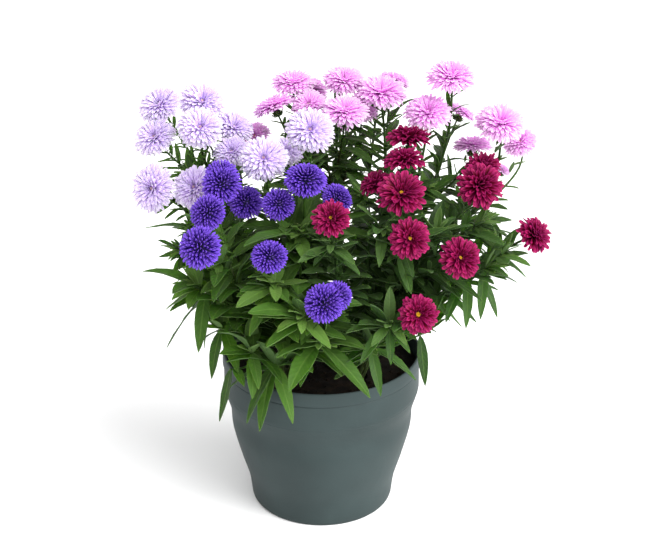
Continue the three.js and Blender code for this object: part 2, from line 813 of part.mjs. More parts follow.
function crosses(solid, obstacles) {
  const box = solid.boundingBox();
  return obstacles.some(
    (other) => boxesMeet(box, other.box) && solid.intersect(other.solid).volume() > SMALLEST_VOLUME,
  );
}

function obstacle(solid) {
  return { solid, box: solid.boundingBox() };
}

function crownSolid(plant) {
  const height = CROWN_TOP - CROWN_BOTTOM;
  const geometry = new THREE.CylinderGeometry(CROWN_RADIUS, CROWN_RADIUS, height, CROWN_SIDES)
    .rotateX(90 * DEGREE)
    .translate(plant.crown[0], plant.crown[1], CROWN_BOTTOM + height / 2);
  return solidOf(geometry);
}

// All of a plant's leaves that find a clear place, fused one by one to its stems
function growLeaves(wood, leaves, foreign) {
  const own = [];
  let body = wood.reduce((sum, { solid }) => (sum ? sum.add(solid) : solid), null);
  for (const leaf of leaves) {
    const near = [...wood.filter(({ stem }) => stem !== leaf.stem), ...own];
    const swollen = (tried) => solidOf(leafGeometry(tried, LEAF_GAP));
    const tries = OTHER_TURNS.map((angle) => turnedLeaf(leaf, angle)).filter(
      (tried) => !crosses(swollen(tried), foreign),
    );
    const isFree = new Map(tries.map((tried) => [tried, !crosses(swollen(tried), near)]));
    tries.sort((a, b) => isFree.get(b) - isFree.get(a));
    for (const tried of tries) {
      const blade = solidOf(leafGeometry(tried, 0));
      const grown = body.add(blade);
      if (!staysClosed(grown)) continue;
      body = grown;
      own.push(obstacle(blade));
      break;
    }
  }
  return { body: mainBody(body), blades: own };
}

// Assembly

const part = new THREE.Group();
const pot = potSolid();
const soil = soilSolid();
part.add(nodeMesh("pot", geometryOf(pot), POT_COLOUR, 0.6));
part.add(nodeMesh("soil", geometryOf(soil), SOIL_COLOUR, 0.95));

const bloomsOf = {};
const firmObstacles = [obstacle(pot), obstacle(soil)];
Object.entries(PLANTS).forEach(([name, plant], p) => {
  bloomsOf[name] = plant.blooms.map((row, i) =>
    bloomOf(plant, `bloom_${name}_${i + 1}`, row, BLOOM_SEED * p + i),
  );
  bloomsOf[name].forEach((bloom, i) => {
    const lobe = plant.lobes?.find(([number]) => number === i + 1);
    const mesh = bloomMesh(bloom, plant.colour, lobe);
    part.add(mesh);
    mesh.updateMatrixWorld();
    firmObstacles.push(obstacle(solidOf(mesh.geometry.clone().applyMatrix4(mesh.matrixWorld))));
  });
});
const allBlooms = Object.values(bloomsOf).flat();

const stemsOf = {};
const woodOf = {};
for (const [name, plant] of Object.entries(PLANTS)) {
  const strangers = Object.values(stemsOf).flat();
  const strangerPoints = strangers.flatMap((stem) => stem.points);
  stemsOf[name] = growStems(plant, bloomsOf[name], allBlooms, strangerPoints);
  woodOf[name] = [
    obstacle(crownSolid(plant)),
    ...stemsOf[name].map((stem) => ({ ...obstacle(solidOf(stemGeometry(stem))), stem })),
  ];
}

const grownBlades = [];
Object.entries(PLANTS).forEach(([name, plant], p) => {
  const otherWood = Object.keys(PLANTS).filter((other) => other !== name);
  const foreign = [...firmObstacles, ...grownBlades, ...otherWood.flatMap((other) => woodOf[other])];
  const leaves = leavesOf(plant, stemsOf[name], allBlooms, PLANT_SEED * (p + 1));
  const { body, blades } = growLeaves(woodOf[name], leaves, foreign);
  grownBlades.push(...blades);
  part.add(nodeMesh(`plant_${name}`, geometryOf(body), plant.green, 0.6));
});

export default part;
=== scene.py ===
"""Garden asters of four colours in one round plastic pot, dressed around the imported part."""

from math import atan2, cos, floor, hypot, pi, sin, sqrt

import bmesh
import bpy
import numpy as np
from mathutils import Matrix, Vector, kdtree
from mathutils import noise as relief
from numpy.linalg import norm


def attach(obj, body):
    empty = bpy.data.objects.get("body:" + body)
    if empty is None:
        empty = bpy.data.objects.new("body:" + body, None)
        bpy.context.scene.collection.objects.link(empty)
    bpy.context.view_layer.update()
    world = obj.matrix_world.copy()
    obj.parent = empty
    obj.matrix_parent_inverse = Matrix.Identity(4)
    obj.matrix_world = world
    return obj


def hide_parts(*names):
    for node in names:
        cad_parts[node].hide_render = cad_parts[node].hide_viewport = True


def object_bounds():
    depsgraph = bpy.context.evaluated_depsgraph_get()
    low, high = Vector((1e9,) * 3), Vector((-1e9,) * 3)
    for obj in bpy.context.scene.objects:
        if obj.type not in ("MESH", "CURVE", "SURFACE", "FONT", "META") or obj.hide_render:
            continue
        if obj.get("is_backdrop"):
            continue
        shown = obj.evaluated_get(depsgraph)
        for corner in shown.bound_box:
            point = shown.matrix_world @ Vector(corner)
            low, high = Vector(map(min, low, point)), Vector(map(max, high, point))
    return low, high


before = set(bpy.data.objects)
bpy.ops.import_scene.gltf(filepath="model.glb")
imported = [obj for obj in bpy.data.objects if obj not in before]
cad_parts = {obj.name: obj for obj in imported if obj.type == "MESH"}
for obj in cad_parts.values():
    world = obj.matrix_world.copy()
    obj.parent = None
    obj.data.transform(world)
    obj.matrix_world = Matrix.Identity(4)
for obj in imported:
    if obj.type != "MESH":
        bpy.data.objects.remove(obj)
cad_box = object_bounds()

# Lengths are in millimetres, and a finished mesh is scaled to metres
MM = 0.001
DEGREE = pi / 180
ROUND = 2 * pi
UP = np.array([0.0, 0.0, 1.0])

# Pot: outer wall from the foot to the rim, as radius and height
POT_OUTLINE = [
    (68.5, 0), (70, 4), (72.8, 25), (80, 50), (87.5, 80), (89, 100), (92.8, 114), (95, 122),
    (94.5, 146), (96, 148), (95.5, 160),
]
POT_FOOT = [(0, 0), (66, 0), (68.5, 0.6), (69.4, 1.8)]
POT_BODY = POT_OUTLINE[1:7]
POT_SHOULDER = [(94.1, 118.8), (94.6, 120.3), (94.45, 120.7), (94.8, 121.8)]
POT_ZONE = [(95.1, 123), (94.9, 134), (94.6, 145)]
POT_LEDGE = [(94.1, 145.8), (94.2, 146.7), (95.7, 147.2), (96, 148.4)]
POT_RIM = [(95.9, 152), (95.7, 157.4), (95.2, 159.3), (94.2, 160), (93.3, 159.5), (92.9, 158)]
POT_INSIDE_RIM = (92.7, 150)
POT_INNER_HEIGHTS = [122, 100, 80, 25]
POT_WALL = 2.6
POT_FLOOR = 3
POT_SIDES = 112
DRAIN_HOLES = 5
DRAIN_RADIUS = 4.5
DRAIN_CIRCLE = 42

# Soil
SEAT_GAP = 0.4
SOIL_EDGE = (91.5, 143)
SOIL_RINGS = [(66, 147), (30, 149)]
SOIL_MIDDLE = 149
SOIL_SINK = 0.4
SOIL_TOP_MARGIN = 0.5
SOIL_SIDES = 120
SOIL_TOP_RINGS = 34
CLOD_SCALE, CLOD_HEIGHT = 0.09, 1.6
CRUMB_SCALE, CRUMB_LEVEL = 0.42, 7
CRUMBS = 420
CRUMB_REACH = 88
CRUMB_SIZE, CRUMB_SIZE_DRAW = 0.7, 1.9
CRUMB_DENTS, CRUMB_DENT_SCALE = 0.35, 1.7
CRUMB_SEAT = 0.2
CRUMB_ROOM = 2

# Crown: the woody knobs that each plant's stems grow from
CROWN_HOLE_RADIUS = 8.8
CROWN_HOLE_ABOVE = 10
CROWN_BOTTOM = 120
CROWN_TOP = 153
CROWN_CIRCLE = 5.2
CROWN_KNOBS = 5
KNOB_RADIUS, MIDDLE_KNOB_RADIUS = 4.2, 5.5
KNOB_CIRCLE = 3.4
KNOB_DROP = 1.5
KNOB_SWELL, KNOB_SWELLS = 0.12, 9
STEM_START = 150

# Stems
STEM_RADII = {"leader": (2.3, 1.1), "branch": (1.4, 0.9), "shoot": (1.5, 0.8)}
STEM_PIECE = 62
LEADER_LEAN = 0.35
FORK_LEAN = 1.5
SHOOT_RISE = 0.6
BRANCH_STARTS = [0.5, 0.62, 0.44, 0.56]
SHOOT_STARTS = [0.12, 0.2, 0.16, 0.26]
MOST_OF_THE_WAY = 0.7
CURVE_HANDLES = (0.4, 0.3)
LINE_STEPS = np.linspace(0, 1, 201)
STEM_STEPS = np.linspace(0, 1, 25)
STEM_ROOM = 5
BLOOM_ROOM = 4.5
FORK_ROOM = 22
BOW_ASIDE = [0, 12, -12, 24, -24, 36, -36]
BOW_INWARDS = BOW_ASIDE[:5]
BOWS = sorted(((a, b) for a in BOW_ASIDE for b in BOW_INWARDS), key=lambda bow: hypot(*bow))
STEM_GUIDE = [0.31, 0.95, 0.1]
BARK_FADING = 1.3

# Leaves of the solid: how they turn, rise, sag and keep clear
TURN_PER_LEAF = 137.5 * DEGREE
TURN_PER_STEM = 1.3
BLOOM_SHELTER = 2
RIM_CLEARANCE = 4
RIM_ZONE_RADIUS = 80
HANG_RADIUS = 100
HANG_HEIGHT = 196
HANG_SLOPE = 0.6
LEAF_REACH_RADIUS = 190
FINE_REACH_RADIUS = 187
NECK_REACH_RADIUS = 215
BOX_MARGIN = 0.001
TEST_STATIONS = [0.3, 0.5, 0.75, 1]
OTHER_TURNS = [0, 18, -18, 36, -36, 54, -54]
LOOKUP_ERROR = 0.0005
LIFT_FOOT, LIFT_GAIN, LIFT_DRAW = 12, 34, 14
SIZE_DRAW = 0.3
SPACING_FOOT, SPACING_GAIN = 0.65, 0.8
BARE_FOOT = {"leader": 34, "branch": 12, "shoot": 12}
BARE_NECK = 9
TIP_HIGHEST, TIP_STEP = 0.97, 0.05

# Smaller leaves between those, and young ones at a shoot's heart and a bloom's neck
FINE_SIZES = (0.55, 0.4)
FINE_TURN = 2.1
FINE_YOUNG = 0.15
# How many young leaves, their size and its shrinking, their lift and its gain, and the tone's gain
HEART = (11, 1.45, 0.9, 18, 55, 0.6)
NECK = (9, 1.1, 0.5, 20, 22, 0)
HEART_DEPTH = 0.06
NECK_TOP, NECK_DEPTH = 14, 58
NECK_SIZES = (0.8, 0.4)
YOUNG_SAG = 0.6
YOUNG_TONE = 0.25

# Leaf blades: their outline, and how they wave, curl, fold and ripple
LEAF_THICKNESS = 0.6
SMALL_LEAF_LENGTH = 32
LEAF_FULLNESS, LEAF_BELLY, LEAF_TAPER = 1.14, 0.9, 0.78
LEAF_END = 0.25
WAVE_DEPTH, WAVES, WAVE_START_DRAW = 0.1, 5, 6
CURL_MIDDLE, CURL_ANGLE = 0.45, 50
FOLD_DEPTHS = (0.1, 0.24)
RIPPLE_DEPTH, RIPPLES = 0.06, 16

# Heights of the three kinds of bloom in parts of their radius
HEAD_HEIGHTS = {"rays": 0.66, "ball": 1.3, "dome": 0.92}

# Layers of petals from the outside in, in parts of the radius: how many, where the tip lies
# (out, up), where the petal's middle handle lies, and the half width
LAYERS = {
    "rays": [
        (30, 1.0, 0.02, 0.58, 0.24, 0.074), (30, 1.0, 0.16, 0.55, 0.31, 0.076),
        (28, 0.97, 0.31, 0.49, 0.36, 0.074), (25, 0.89, 0.45, 0.41, 0.38, 0.072),
        (21, 0.76, 0.57, 0.32, 0.41, 0.07), (16, 0.58, 0.64, 0.22, 0.43, 0.064),
        (11, 0.38, 0.64, 0.14, 0.42, 0.056),
    ],
    "dome": [
        (19, 1.0, 0.1, 0.58, 0.36, 0.1), (19, 1.0, 0.27, 0.57, 0.44, 0.104),
        (18, 0.96, 0.46, 0.5, 0.5, 0.104), (17, 0.87, 0.64, 0.42, 0.54, 0.1),
        (14, 0.72, 0.79, 0.32, 0.58, 0.096), (11, 0.52, 0.88, 0.21, 0.62, 0.09),
        (8, 0.31, 0.89, 0.11, 0.62, 0.08), (5, 0.14, 0.87, 0.04, 0.62, 0.066),
    ],
}
OPEN_THROAT = [
    (12, 0.46, 0.76, 0.2, 0.46, 0.08), (9, 0.3, 0.62, 0.13, 0.42, 0.07), (6, 0.13, 0.5, 0.1, 0.36, 0.05)
]

# A ball's layers follow from the angle of their tips from the facing and how many petals each has
BALL_ANGLES = [154, 138, 123, 108, 93, 78, 64, 51, 39, 28, 18, 8]
BALL_COUNTS = [14, 21, 27, 31, 33, 32, 29, 24, 19, 14, 9, 5]
BALL_CENTRE = 0.65
BALL_HANDLE_OUT = 0.55
BALL_HANDLE_RISE, BALL_HANDLE_UP = 0.5, 0.42
BALL_HALF_WIDTH = 0.05

# Petals
ROOTS = {"rays": (0.08, 0.14), "dome": (0.1, 0.2), "ball": (0.05, 0.55)}
CORES = {"rays": (0.3, 0.1, 0.12), "dome": (0.4, 0.18, 0.14), "ball": (0.6, 0.62, 0.4)}
PETAL_THICKNESS = 0.35
PETAL_TWIST = {"rays": 40, "dome": 84, "ball": 50}
PETAL_DRAW = {"rays": (0.09, 0.11), "dome": (0.12, 0.22), "ball": (0.05, 0.06)}
PETAL_CUP = {"rays": 0.3, "dome": 0.5, "ball": 0.5}
PETAL_BLUNTNESS = {"rays": 0.28, "dome": 0.28, "ball": 0.4}
PETAL_FOOT_WIDTH, PETAL_WIDENING = 0.42, 0.58
PETAL_WIDEST = 0.6
PETAL_OPENING, PETAL_CLOSING = 0.8, 2.2
PETAL_TIP_START, PETAL_TIP_LENGTH = 0.8, 0.2
PETAL_WIDTHS = (0.88, 0.24)
TIP_ROUNDING = 0.05

# Eye: the disc of florets in an open bloom, as radius and level in parts of the bloom's radius
EYES = {"rays": (0.05, 0.25), "dome": (0.1, 0.34)}
EYE_DEPTH = 0.55
FLORETS = 24
FLORET_RADIUS = 0.42
FLORET_HEIGHT, FLORET_LEVEL = 0.75, 0.2
FLORET_SPREAD = 0.95

# Cup under a bloom, in parts of its radius, and its rows of bracts: how many, and the tip (out, up)
CUP_RADIUS = 4.4
CUP_WIDTH, CUP_HEIGHT, CUP_LEVEL = 0.92, 0.8, 0.55
BUD_RADIUS = 10
BUD_CUP = 0.75
BRACT_ROWS = [(11, 1.62, -0.1), (10, 1.42, -0.62), (9, 1.25, -1.1)]
BRACT_ROOT, BRACT_ROOT_STEP = (0.5, -1.1), 0.12
BRACT_MIDDLE, BRACT_MIDDLE_STEP = (1.05, -0.85), 0.2
BRACT_LENGTHS = (0.92, 0.16)
BRACT_HALF_WIDTH = 0.2
BRACT_THICKNESS = 0.35

# Looks and camera
LEAF_UNDERSIDE = "52664a"
GLOW_DEPTH = 0.004
CAMERA_DOWN, CAMERA_TURN = 24.8, -0.32

# Random draws: the two numbers of the rule, and steps between plants, blooms, petals and stems
DRAW_STEP, DRAW_SPREAD = 12.9898, 43758.5453
PLANT_SEED = 1000
BLOOM_SEED = 100
HEAD_SEED = 400
LAYER_SEED = 40
STEM_SEED = 50
FINE_SEED = 0.37
YOUNG_SEED = 9
CUP_SEED = 7
BLADE_SEED = 1.31

# Plants. A bloom is (centre x, y, z, diameter, facing azimuth, facing elevation), and the first
# `leaders` blooms of a plant end its main stems. A shoot is its end and the tips of its large leaves.
# Lobes are the second heads of double blooms, and eyes the disc radii of open ones, by bloom number.
# Leaves are `low` long at a stem's foot and `high` at its top. The gap between two has `fill` parts,
# with a leaf of the `fine` shares of their length and width at each.
# Colours: green is deep, fresh, heart and wood, petal is throat, blade, tip and streaks, then the
# streaks' depth, how far the paling follows the rim and where it starts, roughness, glow and shine.
# The throat colour is partly painted shade at the petals' roots and on the inner petals, and the
# paling to the tip colour is partly a painted highlight along the petals' tips and edges
PLANTS = {}
PLANTS["lavender"] = {
    "green": ("203410", "395722", "5e7d3a", "3c3a20"),
    "petal": ("bc94ea", "d4b6f3", "ecdcfa", "ba98f4", 0.45, 0.45, 0.55, 0.6, 0.85, 0.08),
    "eye": ("a98490", "d9b8b4"),
    "crown": (-35, 35),
    "fill": 17,
    "fine": (0.85, 0.8),
    "head": "rays",
    "leaders": 6,
    "leaf": {"low": 50, "high": 16, "slim": 0.1, "spacing": 64, "sag": 0.18},
    "blooms": [
        (-154, 70, 384, 43, -125, 56), (-155, -18, 332, 45, -125, 22), (-112, 30, 375, 43, -80, 50),
        (-10, 5, 381, 46, -90, 48), (-52, -15, 361, 45, -95, 50), (-59, 130, 307, 40, 100, 40),
        (-114, 90, 381, 46, -70, 58), (-157, 40, 362, 41, -125, 54), (-83, 75, 360, 40, -50, 60),
        (-84, 35, 349, 36, -110, 60), (-118, 0, 327, 43, -120, 40), (-32, 45, 346, 32, -60, 60),
        (-120, 105, 345, 36, 130, 40),
    ],
    "shoots": [
        ((-128, 62, 262), [(-172, 60, 262), (-150, 96, 246), (-140, 40, 236)]),
        ((-70, 118, 226), [(-84, 158, 214), (-44, 150, 226)]),
        ((-112, 96, 196), [(-150, 118, 176), (-120, 132, 172)]),
        ((-134, 4, 262), [(-152, -8, 276), (-154, 8, 252), (-138, -22, 250)]),
        ((-128, 42, 326), [(-150, 34, 322), (-112, 24, 330), (-136, 62, 334)]),
        ((-52, 2, 318), [(-72, -8, 322), (-34, -12, 328)]),
    ],
}
PLANTS["pink"] = {
    "green": ("1e3010", "344e20", "567236", "3e321c"),
    "petal": ("fa7cf0", "fe9cfa", "ffc6fd", "fa7cf4", 0.4, 0.42, 0.55, 0.6, 0.85, 0.08),
    "eye": ("bf8f74", "ebcaa8"),
    "crown": (35, 35),
    "fill": 12,
    "fine": (0.95, 0.9),
    "head": "rays",
    "leaders": 7,
    "leaf": {"low": 60, "high": 20, "slim": 0.1, "spacing": 80, "sag": 0.2},
    "blooms": [
        (-27, 113, 393, 43, -90, 86), (22, 100, 399, 41, -90, 74), (57, 80, 394, 50, -90, 80),
        (100, 50, 383, 45, -95, 68), (122, 60, 415, 48, -90, 78), (168, 41, 376, 48, -80, 70),
        (58, 150, 366, 38, 80, 40), (-46, 92, 376, 43, 150, 62), (-10, 145, 374, 35, 80, 30),
        (22, 55, 383, 47, -90, 80), (-66, 110, 338, 32, -120, 50), (136, 95, 368, 31, 30, 60),
        (145, 65, 345, 38, 90, 78), (191, 72, 345, 35, -120, 62), (178, 84, 312, 17, 0, 60),
        (40, 95, 372, 33, -60, 60), (-12, 75, 382, 34, -120, 60), (72, 120, 392, 33, 60, 60),
        (24, 155, 342, 36, 95, 30),
    ],
    "shoots": [
        ((120, 92, 236), [(156, 108, 222), (132, 134, 226), (160, 78, 216)]),
        ((52, 128, 214), [(70, 168, 200)]),
        ((156, 52, 262), [(190, 66, 250), (178, 30, 236)]),
        ((4, 126, 252), [(-20, 160, 240)]),
        ((112, 62, 188), [(148, 78, 160), (140, 46, 158), (122, 100, 168)]),
        ((40, 22, 310), [(12, 0, 298), (62, -4, 294), (24, 48, 322)]),
        ((98, 24, 316), [(126, 0, 306), (84, -6, 298), (130, 40, 322)]),
    ],
}
PLANTS["violet"] = {
    "green": ("263c14", "39571f", "5a7537", "394424"),
    "petal": ("040120", "1e0472", "8a5cf0", "0c0244", 0.5, 0.1, 0.82, 0.4, 0.1, 0.12),
    "eye": ("8a7a3c", "c9b45a"),
    "crown": (-35, -35),
    "fill": 9,
    "fine": (1, 1),
    "head": "ball",
    "leaders": 5,
    "leaf": {"low": 74, "high": 32, "slim": 0.14, "spacing": 58, "sag": 0.32},
    "blooms": [
        (-105, -100, 309, 39, -110, 30), (-89, -37, 343, 37, -100, 50), (-14, -45, 350, 39, -80, 72),
        (2, -125, 267, 36, -100, 35), (-45, -100, 300, 33, -90, 58), (-100, -65, 327, 34, -120, 35),
        (-69, -20, 319, 33, -80, 45), (-38, -50, 329, 31, -90, 45), (14, -35, 328, 31, -40, 45),
    ],
    "lobes": {3: (13, -119, 271, 28), 1: (-90, -27, 348, 31)},
    "shoots": [
        ((-44, -88, 186), [(-68, -108, 138), (-58, -112, 132), (-27, -116, 142), (-82, -96, 159),
                           (-19, -120, 216), (-86, -92, 194), (-8, -118, 196)]),
        ((-94, -52, 206), [(-103, -66, 161), (-76, -86, 178), (-112, -40, 190)]),
        ((-84, -78, 178), [(-91, -88, 127), (-70, -100, 172)]),
        ((-114, -54, 250), [(-163, -46, 263), (-135, -36, 245), (-112, -80, 196), (-145, -50, 186),
                            (-110, -48, 184)]),
        ((0, -105, 218), [(42, -132, 177), (24, -122, 193), (-53, -122, 192), (-19, -128, 187)]),
        ((-17, -116, 250), [(-63, -130, 262), (35, -122, 257), (3, -134, 230)]),
        ((-41, -95, 273), [(-71, -106, 270), (-19, -114, 264), (-63, -120, 233)]),
        ((-20, -58, 306), [(-52, -112, 310), (4, -62, 316)]),
        ((-64, -84, 198), [(-84, -106, 176), (-62, -116, 168), (-44, -112, 178), (-92, -90, 200)]),
    ],
}
PLANTS["crimson"] = {
    "green": ("1d2f12", "324b23", "516a37", "333e21"),
    "petal": ("150004", "64001f", "a41c5e", "36000c", 0.45, 0.2, 0.7, 0.36, 0.06, 0.12),
    "eye": ("6e4008", "d6a21e"),
    "crown": (35, -35),
    "fill": 13,
    "fine": (0.95, 0.95),
    "head": "dome",
    "leaders": 6,
    "leaf": {"low": 66, "high": 30, "slim": 0.11, "spacing": 76, "sag": 0.22},
    "blooms": [
        (82, 34, 364, 40, 90, 78), (85, -110, 249, 35, -90, 30), (8, -85, 331, 33, -95, 45),
        (71, -55, 343, 43, -95, 56), (145, -15, 334, 42, -85, 40), (196, -30, 291, 35, -45, 36),
        (124, -75, 288, 37, -75, 35), (78, -85, 311, 37, -80, 35), (75, -14, 359, 37, 90, 78),
        (49, -15, 337, 31, 180, 65), (152, 27, 337, 34, -85, 70),
    ],
    "eyes": {1: 0.12, 2: 0.07, 3: 0.075, 6: 0.07, 7: 0.07},
    "shoots": [
        ((44, -88, 206), [(53, -114, 169), (86, -102, 180), (21, -114, 204)]),
        ((61, -98, 234), [(61, -122, 205), (78, -118, 215), (34, -122, 208), (43, -104, 256)]),
        ((92, -64, 206), [(95, -84, 163), (107, -48, 208)]),
        ((8, -76, 304), [(-7, -96, 290), (33, -104, 283)]),
        ((56, -56, 310), [(53, -76, 286), (34, -64, 320), (81, -50, 318)]),
        ((150, -56, 270), [(144, -74, 226), (161, -62, 222), (179, -60, 252), (132, -72, 216),
                           (112, -80, 226)]),
        ((167, -40, 278), [(160, -38, 298), (191, -46, 260)]),
        ((146, -22, 300), [(172, -28, 284), (153, -38, 282), (132, -40, 296)]),
        ((118, -6, 232), [(156, -10, 214), (140, 22, 222), (146, -34, 204)]),
        ((106, -34, 296), [(136, -46, 306), (92, -50, 280), (112, -12, 318)]),
    ],
}


def draw(n):
    """A repeatable draw between 0 and 1."""
    wave = sin(n * DRAW_STEP) * DRAW_SPREAD
    return wave - floor(wave)


def swing(n):
    """A repeatable draw between -0.5 and 0.5."""
    return draw(n) - 0.5


def within(span, n):
    """A repeatable draw within a span of (least, spread)."""
    return span[0] + span[1] * draw(n)


def unit(vector):
    return vector / norm(vector)


def units(vectors):
    return vectors / norm(vectors, axis=1)[:, None]


def sideways(turn):
    """The level direction at a turn about the upright."""
    return np.array([cos(turn), sin(turn), 0.0])


def raised(outward, along, lift):
    """The outward direction, lifted towards the other."""
    return outward * cos(lift) + along * sin(lift)


def flat(vector):
    return unit(vector * np.array([1.0, 1.0, 0.0]))


def swung(out, aside, rise, turn):
    """Points given outwards, aside and up, swung about the upright."""
    x = out * cos(turn) + aside * sin(turn)
    y = out * sin(turn) - aside * cos(turn)
    return np.stack([x, y, rise], axis=1)


def rolled(aside, lift, angle):
    """A blade's cross-section turned about its line."""
    return aside * np.cos(angle) - lift * np.sin(angle), aside * np.sin(angle) + lift * np.cos(angle)


def bent(s, root, middle, tip):
    """A line from root to tip that its middle handle bends."""
    return (1 - s) ** 2 * root + 2 * s * (1 - s) * middle + s**2 * tip


def marks(points):
    """How far along their row each of the points lies."""
    return np.concatenate([[0], np.cumsum(norm(np.diff(points, axis=0), axis=1))])


def mesh_of(name, form):
    mesh = bpy.data.meshes.new(name)
    form.to_mesh(mesh)
    form.free()
    return mesh


def placed(name, data):
    """A new object in the scene."""
    made = bpy.data.objects.new(name, data)
    bpy.context.collection.objects.link(made)
    return made


# Materials


def paint(code):
    """The linear colour of a six-figure screen colour."""
    channels = [int(code[i : i + 2], 16) / 255 for i in (0, 2, 4)]
    return (*[c / 12.92 if c <= 0.04045 else ((c + 0.055) / 1.055) ** 2.4 for c in channels], 1.0)


def math_node(operation, order=1):
    """A method that adds a Math node. Order -1 turns its terms round."""

    def method(self, *others):
        terms = [self, *others][::order]
        return self.looks.node("Math", dict(enumerate(terms)), operation=operation)

    return method


class Value:
    """A socket whose arithmetic adds Math nodes."""

    def __init__(self, looks, socket):
        self.looks = looks
        self.socket = socket

    __add__ = __radd__ = math_node("ADD")
    __mul__ = __rmul__ = math_node("MULTIPLY")
    __sub__ = math_node("SUBTRACT")
    __rsub__ = math_node("SUBTRACT", -1)
    __abs__ = math_node("ABSOLUTE")
    sine = math_node("SINE")


class Looks:
    """A material: its Principled shader and the nodes that vary it."""

    def __init__(self, name, shine, glow=0.0, tint=(1, 1, 1)):
        self.material = bpy.data.materials.new(name)
        self.material.use_nodes = True
        self.tree = self.material.node_tree
        self.shader = self.tree.nodes["Principled BSDF"]
        self.feed(self.shader, {"Specular IOR Level": shine, "Subsurface Weight": glow})
        self.feed(self.shader, {"Subsurface Radius": tint, "Subsurface Scale": GLOW_DEPTH})

    def feed(self, node, values):
        for socket, value in values.items():
            if isinstance(value, Value):
                self.tree.links.new(value.socket, node.inputs[socket])
            else:
                node.inputs[socket].default_value = value

    def node(self, kind, values, output=0, **settings):
        node = self.tree.nodes.new("ShaderNode" + kind)
        for name, setting in settings.items():
            setattr(node, name, setting)
        self.feed(node, values)
        return Value(self, node.outputs[output])

    def coats(self, ground, *coats):
        """The ground colour under others, each as strong as its factor."""
        body = paint(ground)
        for factor, colour in coats:
            body = self.node("Mix", {0: factor, 6: body, 7: paint(colour)}, 2, data_type="RGBA")
        return body

    def trait(self, name):
        return self.node("Attribute", {}, "Fac", attribute_name=name)

    def step(self, value, low, high):
        """0 up to low and 1 from high on, with a smooth rise between."""
        return self.node("MapRange", {0: value, 1: low, 2: high}, interpolation_type="SMOOTHSTEP")

    def place(self):
        return self.node("TexCoord", {}, "Object")

    def grain(self, scale, detail=3.0, stretch=(1, 1, 1)):
        place = self.node("Mapping", {"Vector": self.place(), "Scale": stretch})
        return self.node("TexNoise", {"Vector": place, "Scale": scale, "Detail": detail})

    def done(self, colour, roughness, height=None, distance=0.0, strength=1.0):
        """The finished material, with a bump where a height is given."""
        self.feed(self.shader, {"Base Color": colour, "Roughness": roughness})
        if height:
            values = {"Height": height, "Distance": distance, "Strength": strength}
            self.feed(self.shader, {"Normal": self.node("Bump", values)})
        return self.material


def leaf_looks(name, deep, fresh, heart, wood):
    looks = Looks(name, 0.12, 0.35, (0.7, 1, 0.35))
    along, across, under, own, young, bark = map(looks.trait, TRAITS)
    mottle = looks.grain(90.0)
    fibres = looks.grain(160.0, stretch=(1, 1, 0.08))
    side = abs(across)
    patches = looks.step(own * 0.75 + mottle * 0.5, 0.2, 0.95)
    midrib = 1 - looks.step(side, 0.04, 0.16)
    ribs = (along * 58.0 - side * 8.0).sine()
    rib_tops = looks.step(ribs, 0.5, 1.0)
    woody = looks.step(bark * 0.8 + fibres * 0.4, 0.3, 1.0)
    green = (patches, fresh), (young, heart), (rib_tops * 0.07, heart), (midrib * 0.3, heart)
    colour = looks.coats(deep, *green, (under * 0.3, LEAF_UNDERSIDE), (woody, wood))
    height = midrib * -0.5 + ribs * 0.14 + mottle * 0.4
    return looks.done(colour, 0.42 + mottle * 0.2, height, 0.0006, 0.55)


def petal_looks(name, throat_and_painted_shade, blade, tip, streak, streak_depth, rim, paling, roughness, glow, shine):
    looks = Looks(name, shine, glow, (1, 0.8, 1))
    along, across, own, inner = map(looks.trait, ("along", "across", "own", "young"))
    # Throat colour at the petals' roots: partly their darker base, partly painted shade where petals crowd
    past_throat_and_shade = looks.step(along, 0.12, 0.62)
    # Tip colour towards the tips and, as far as rim says, the edges: partly own pale tips, partly painted
    # highlight
    pale_tips_and_painted_highlight = looks.step(along * (1.15 - rim) + abs(across) * rim, paling, 1.1)
    lines = (across * 8.5 + own * 6.0).sine()
    fading = 1.0 - looks.step(along, 0.55, 1.0) * 0.6
    streaked = looks.step(lines, -0.1, 0.9) * fading * streak_depth
    pale_ones = looks.step(own, 0.3, 1.0)
    coats = (past_throat_and_shade, blade), (pale_tips_and_painted_highlight, tip), (streaked, streak), (pale_ones * 0.38, tip)
    # Inner layers lean towards the throat colour: painted shade towards the middle of the head
    colour = looks.coats(throat_and_painted_shade, *coats, (inner * 0.3, throat_and_painted_shade))
    return looks.done(colour, roughness + looks.grain(300.0) * 0.15, lines, 0.0002, 0.5)


def eye_looks(name, dark, bright):
    looks = Looks(name, 0.2)
    florets = looks.step(looks.trait("along"), 0.3, 0.9)
    colour = looks.coats(dark, (florets, bright), (looks.trait("own") * 0.4, dark))
    return looks.done(colour, 0.7 + looks.grain(500.0) * 0.2)


def pot_looks():
    looks = Looks("moulded_slate_plastic", 0.12)
    height = looks.node("SeparateXYZ", {0: looks.place()}, 2)
    cloud = looks.grain(14.0)
    scuffs = looks.grain(55.0, 4.0, (1, 1, 0.25))
    clouded = looks.step(cloud, 0.3, 0.72)
    scuffed = looks.step(scuffs, 0.58, 0.8)
    low_down = 1 - looks.step(height, 0.0, 0.03)
    coats = (clouded, "333e3e"), (scuffed * 0.18, "444f4f"), (low_down * 0.3, "293131")
    roughness = 0.46 + cloud * 0.12 + looks.step(scuffs, 0.55, 0.8) * 0.14
    fine = looks.grain(260.0, stretch=(1, 1, 5))
    return looks.done(looks.coats("2d3737", *coats), roughness, fine, 0.0003, 0.35)


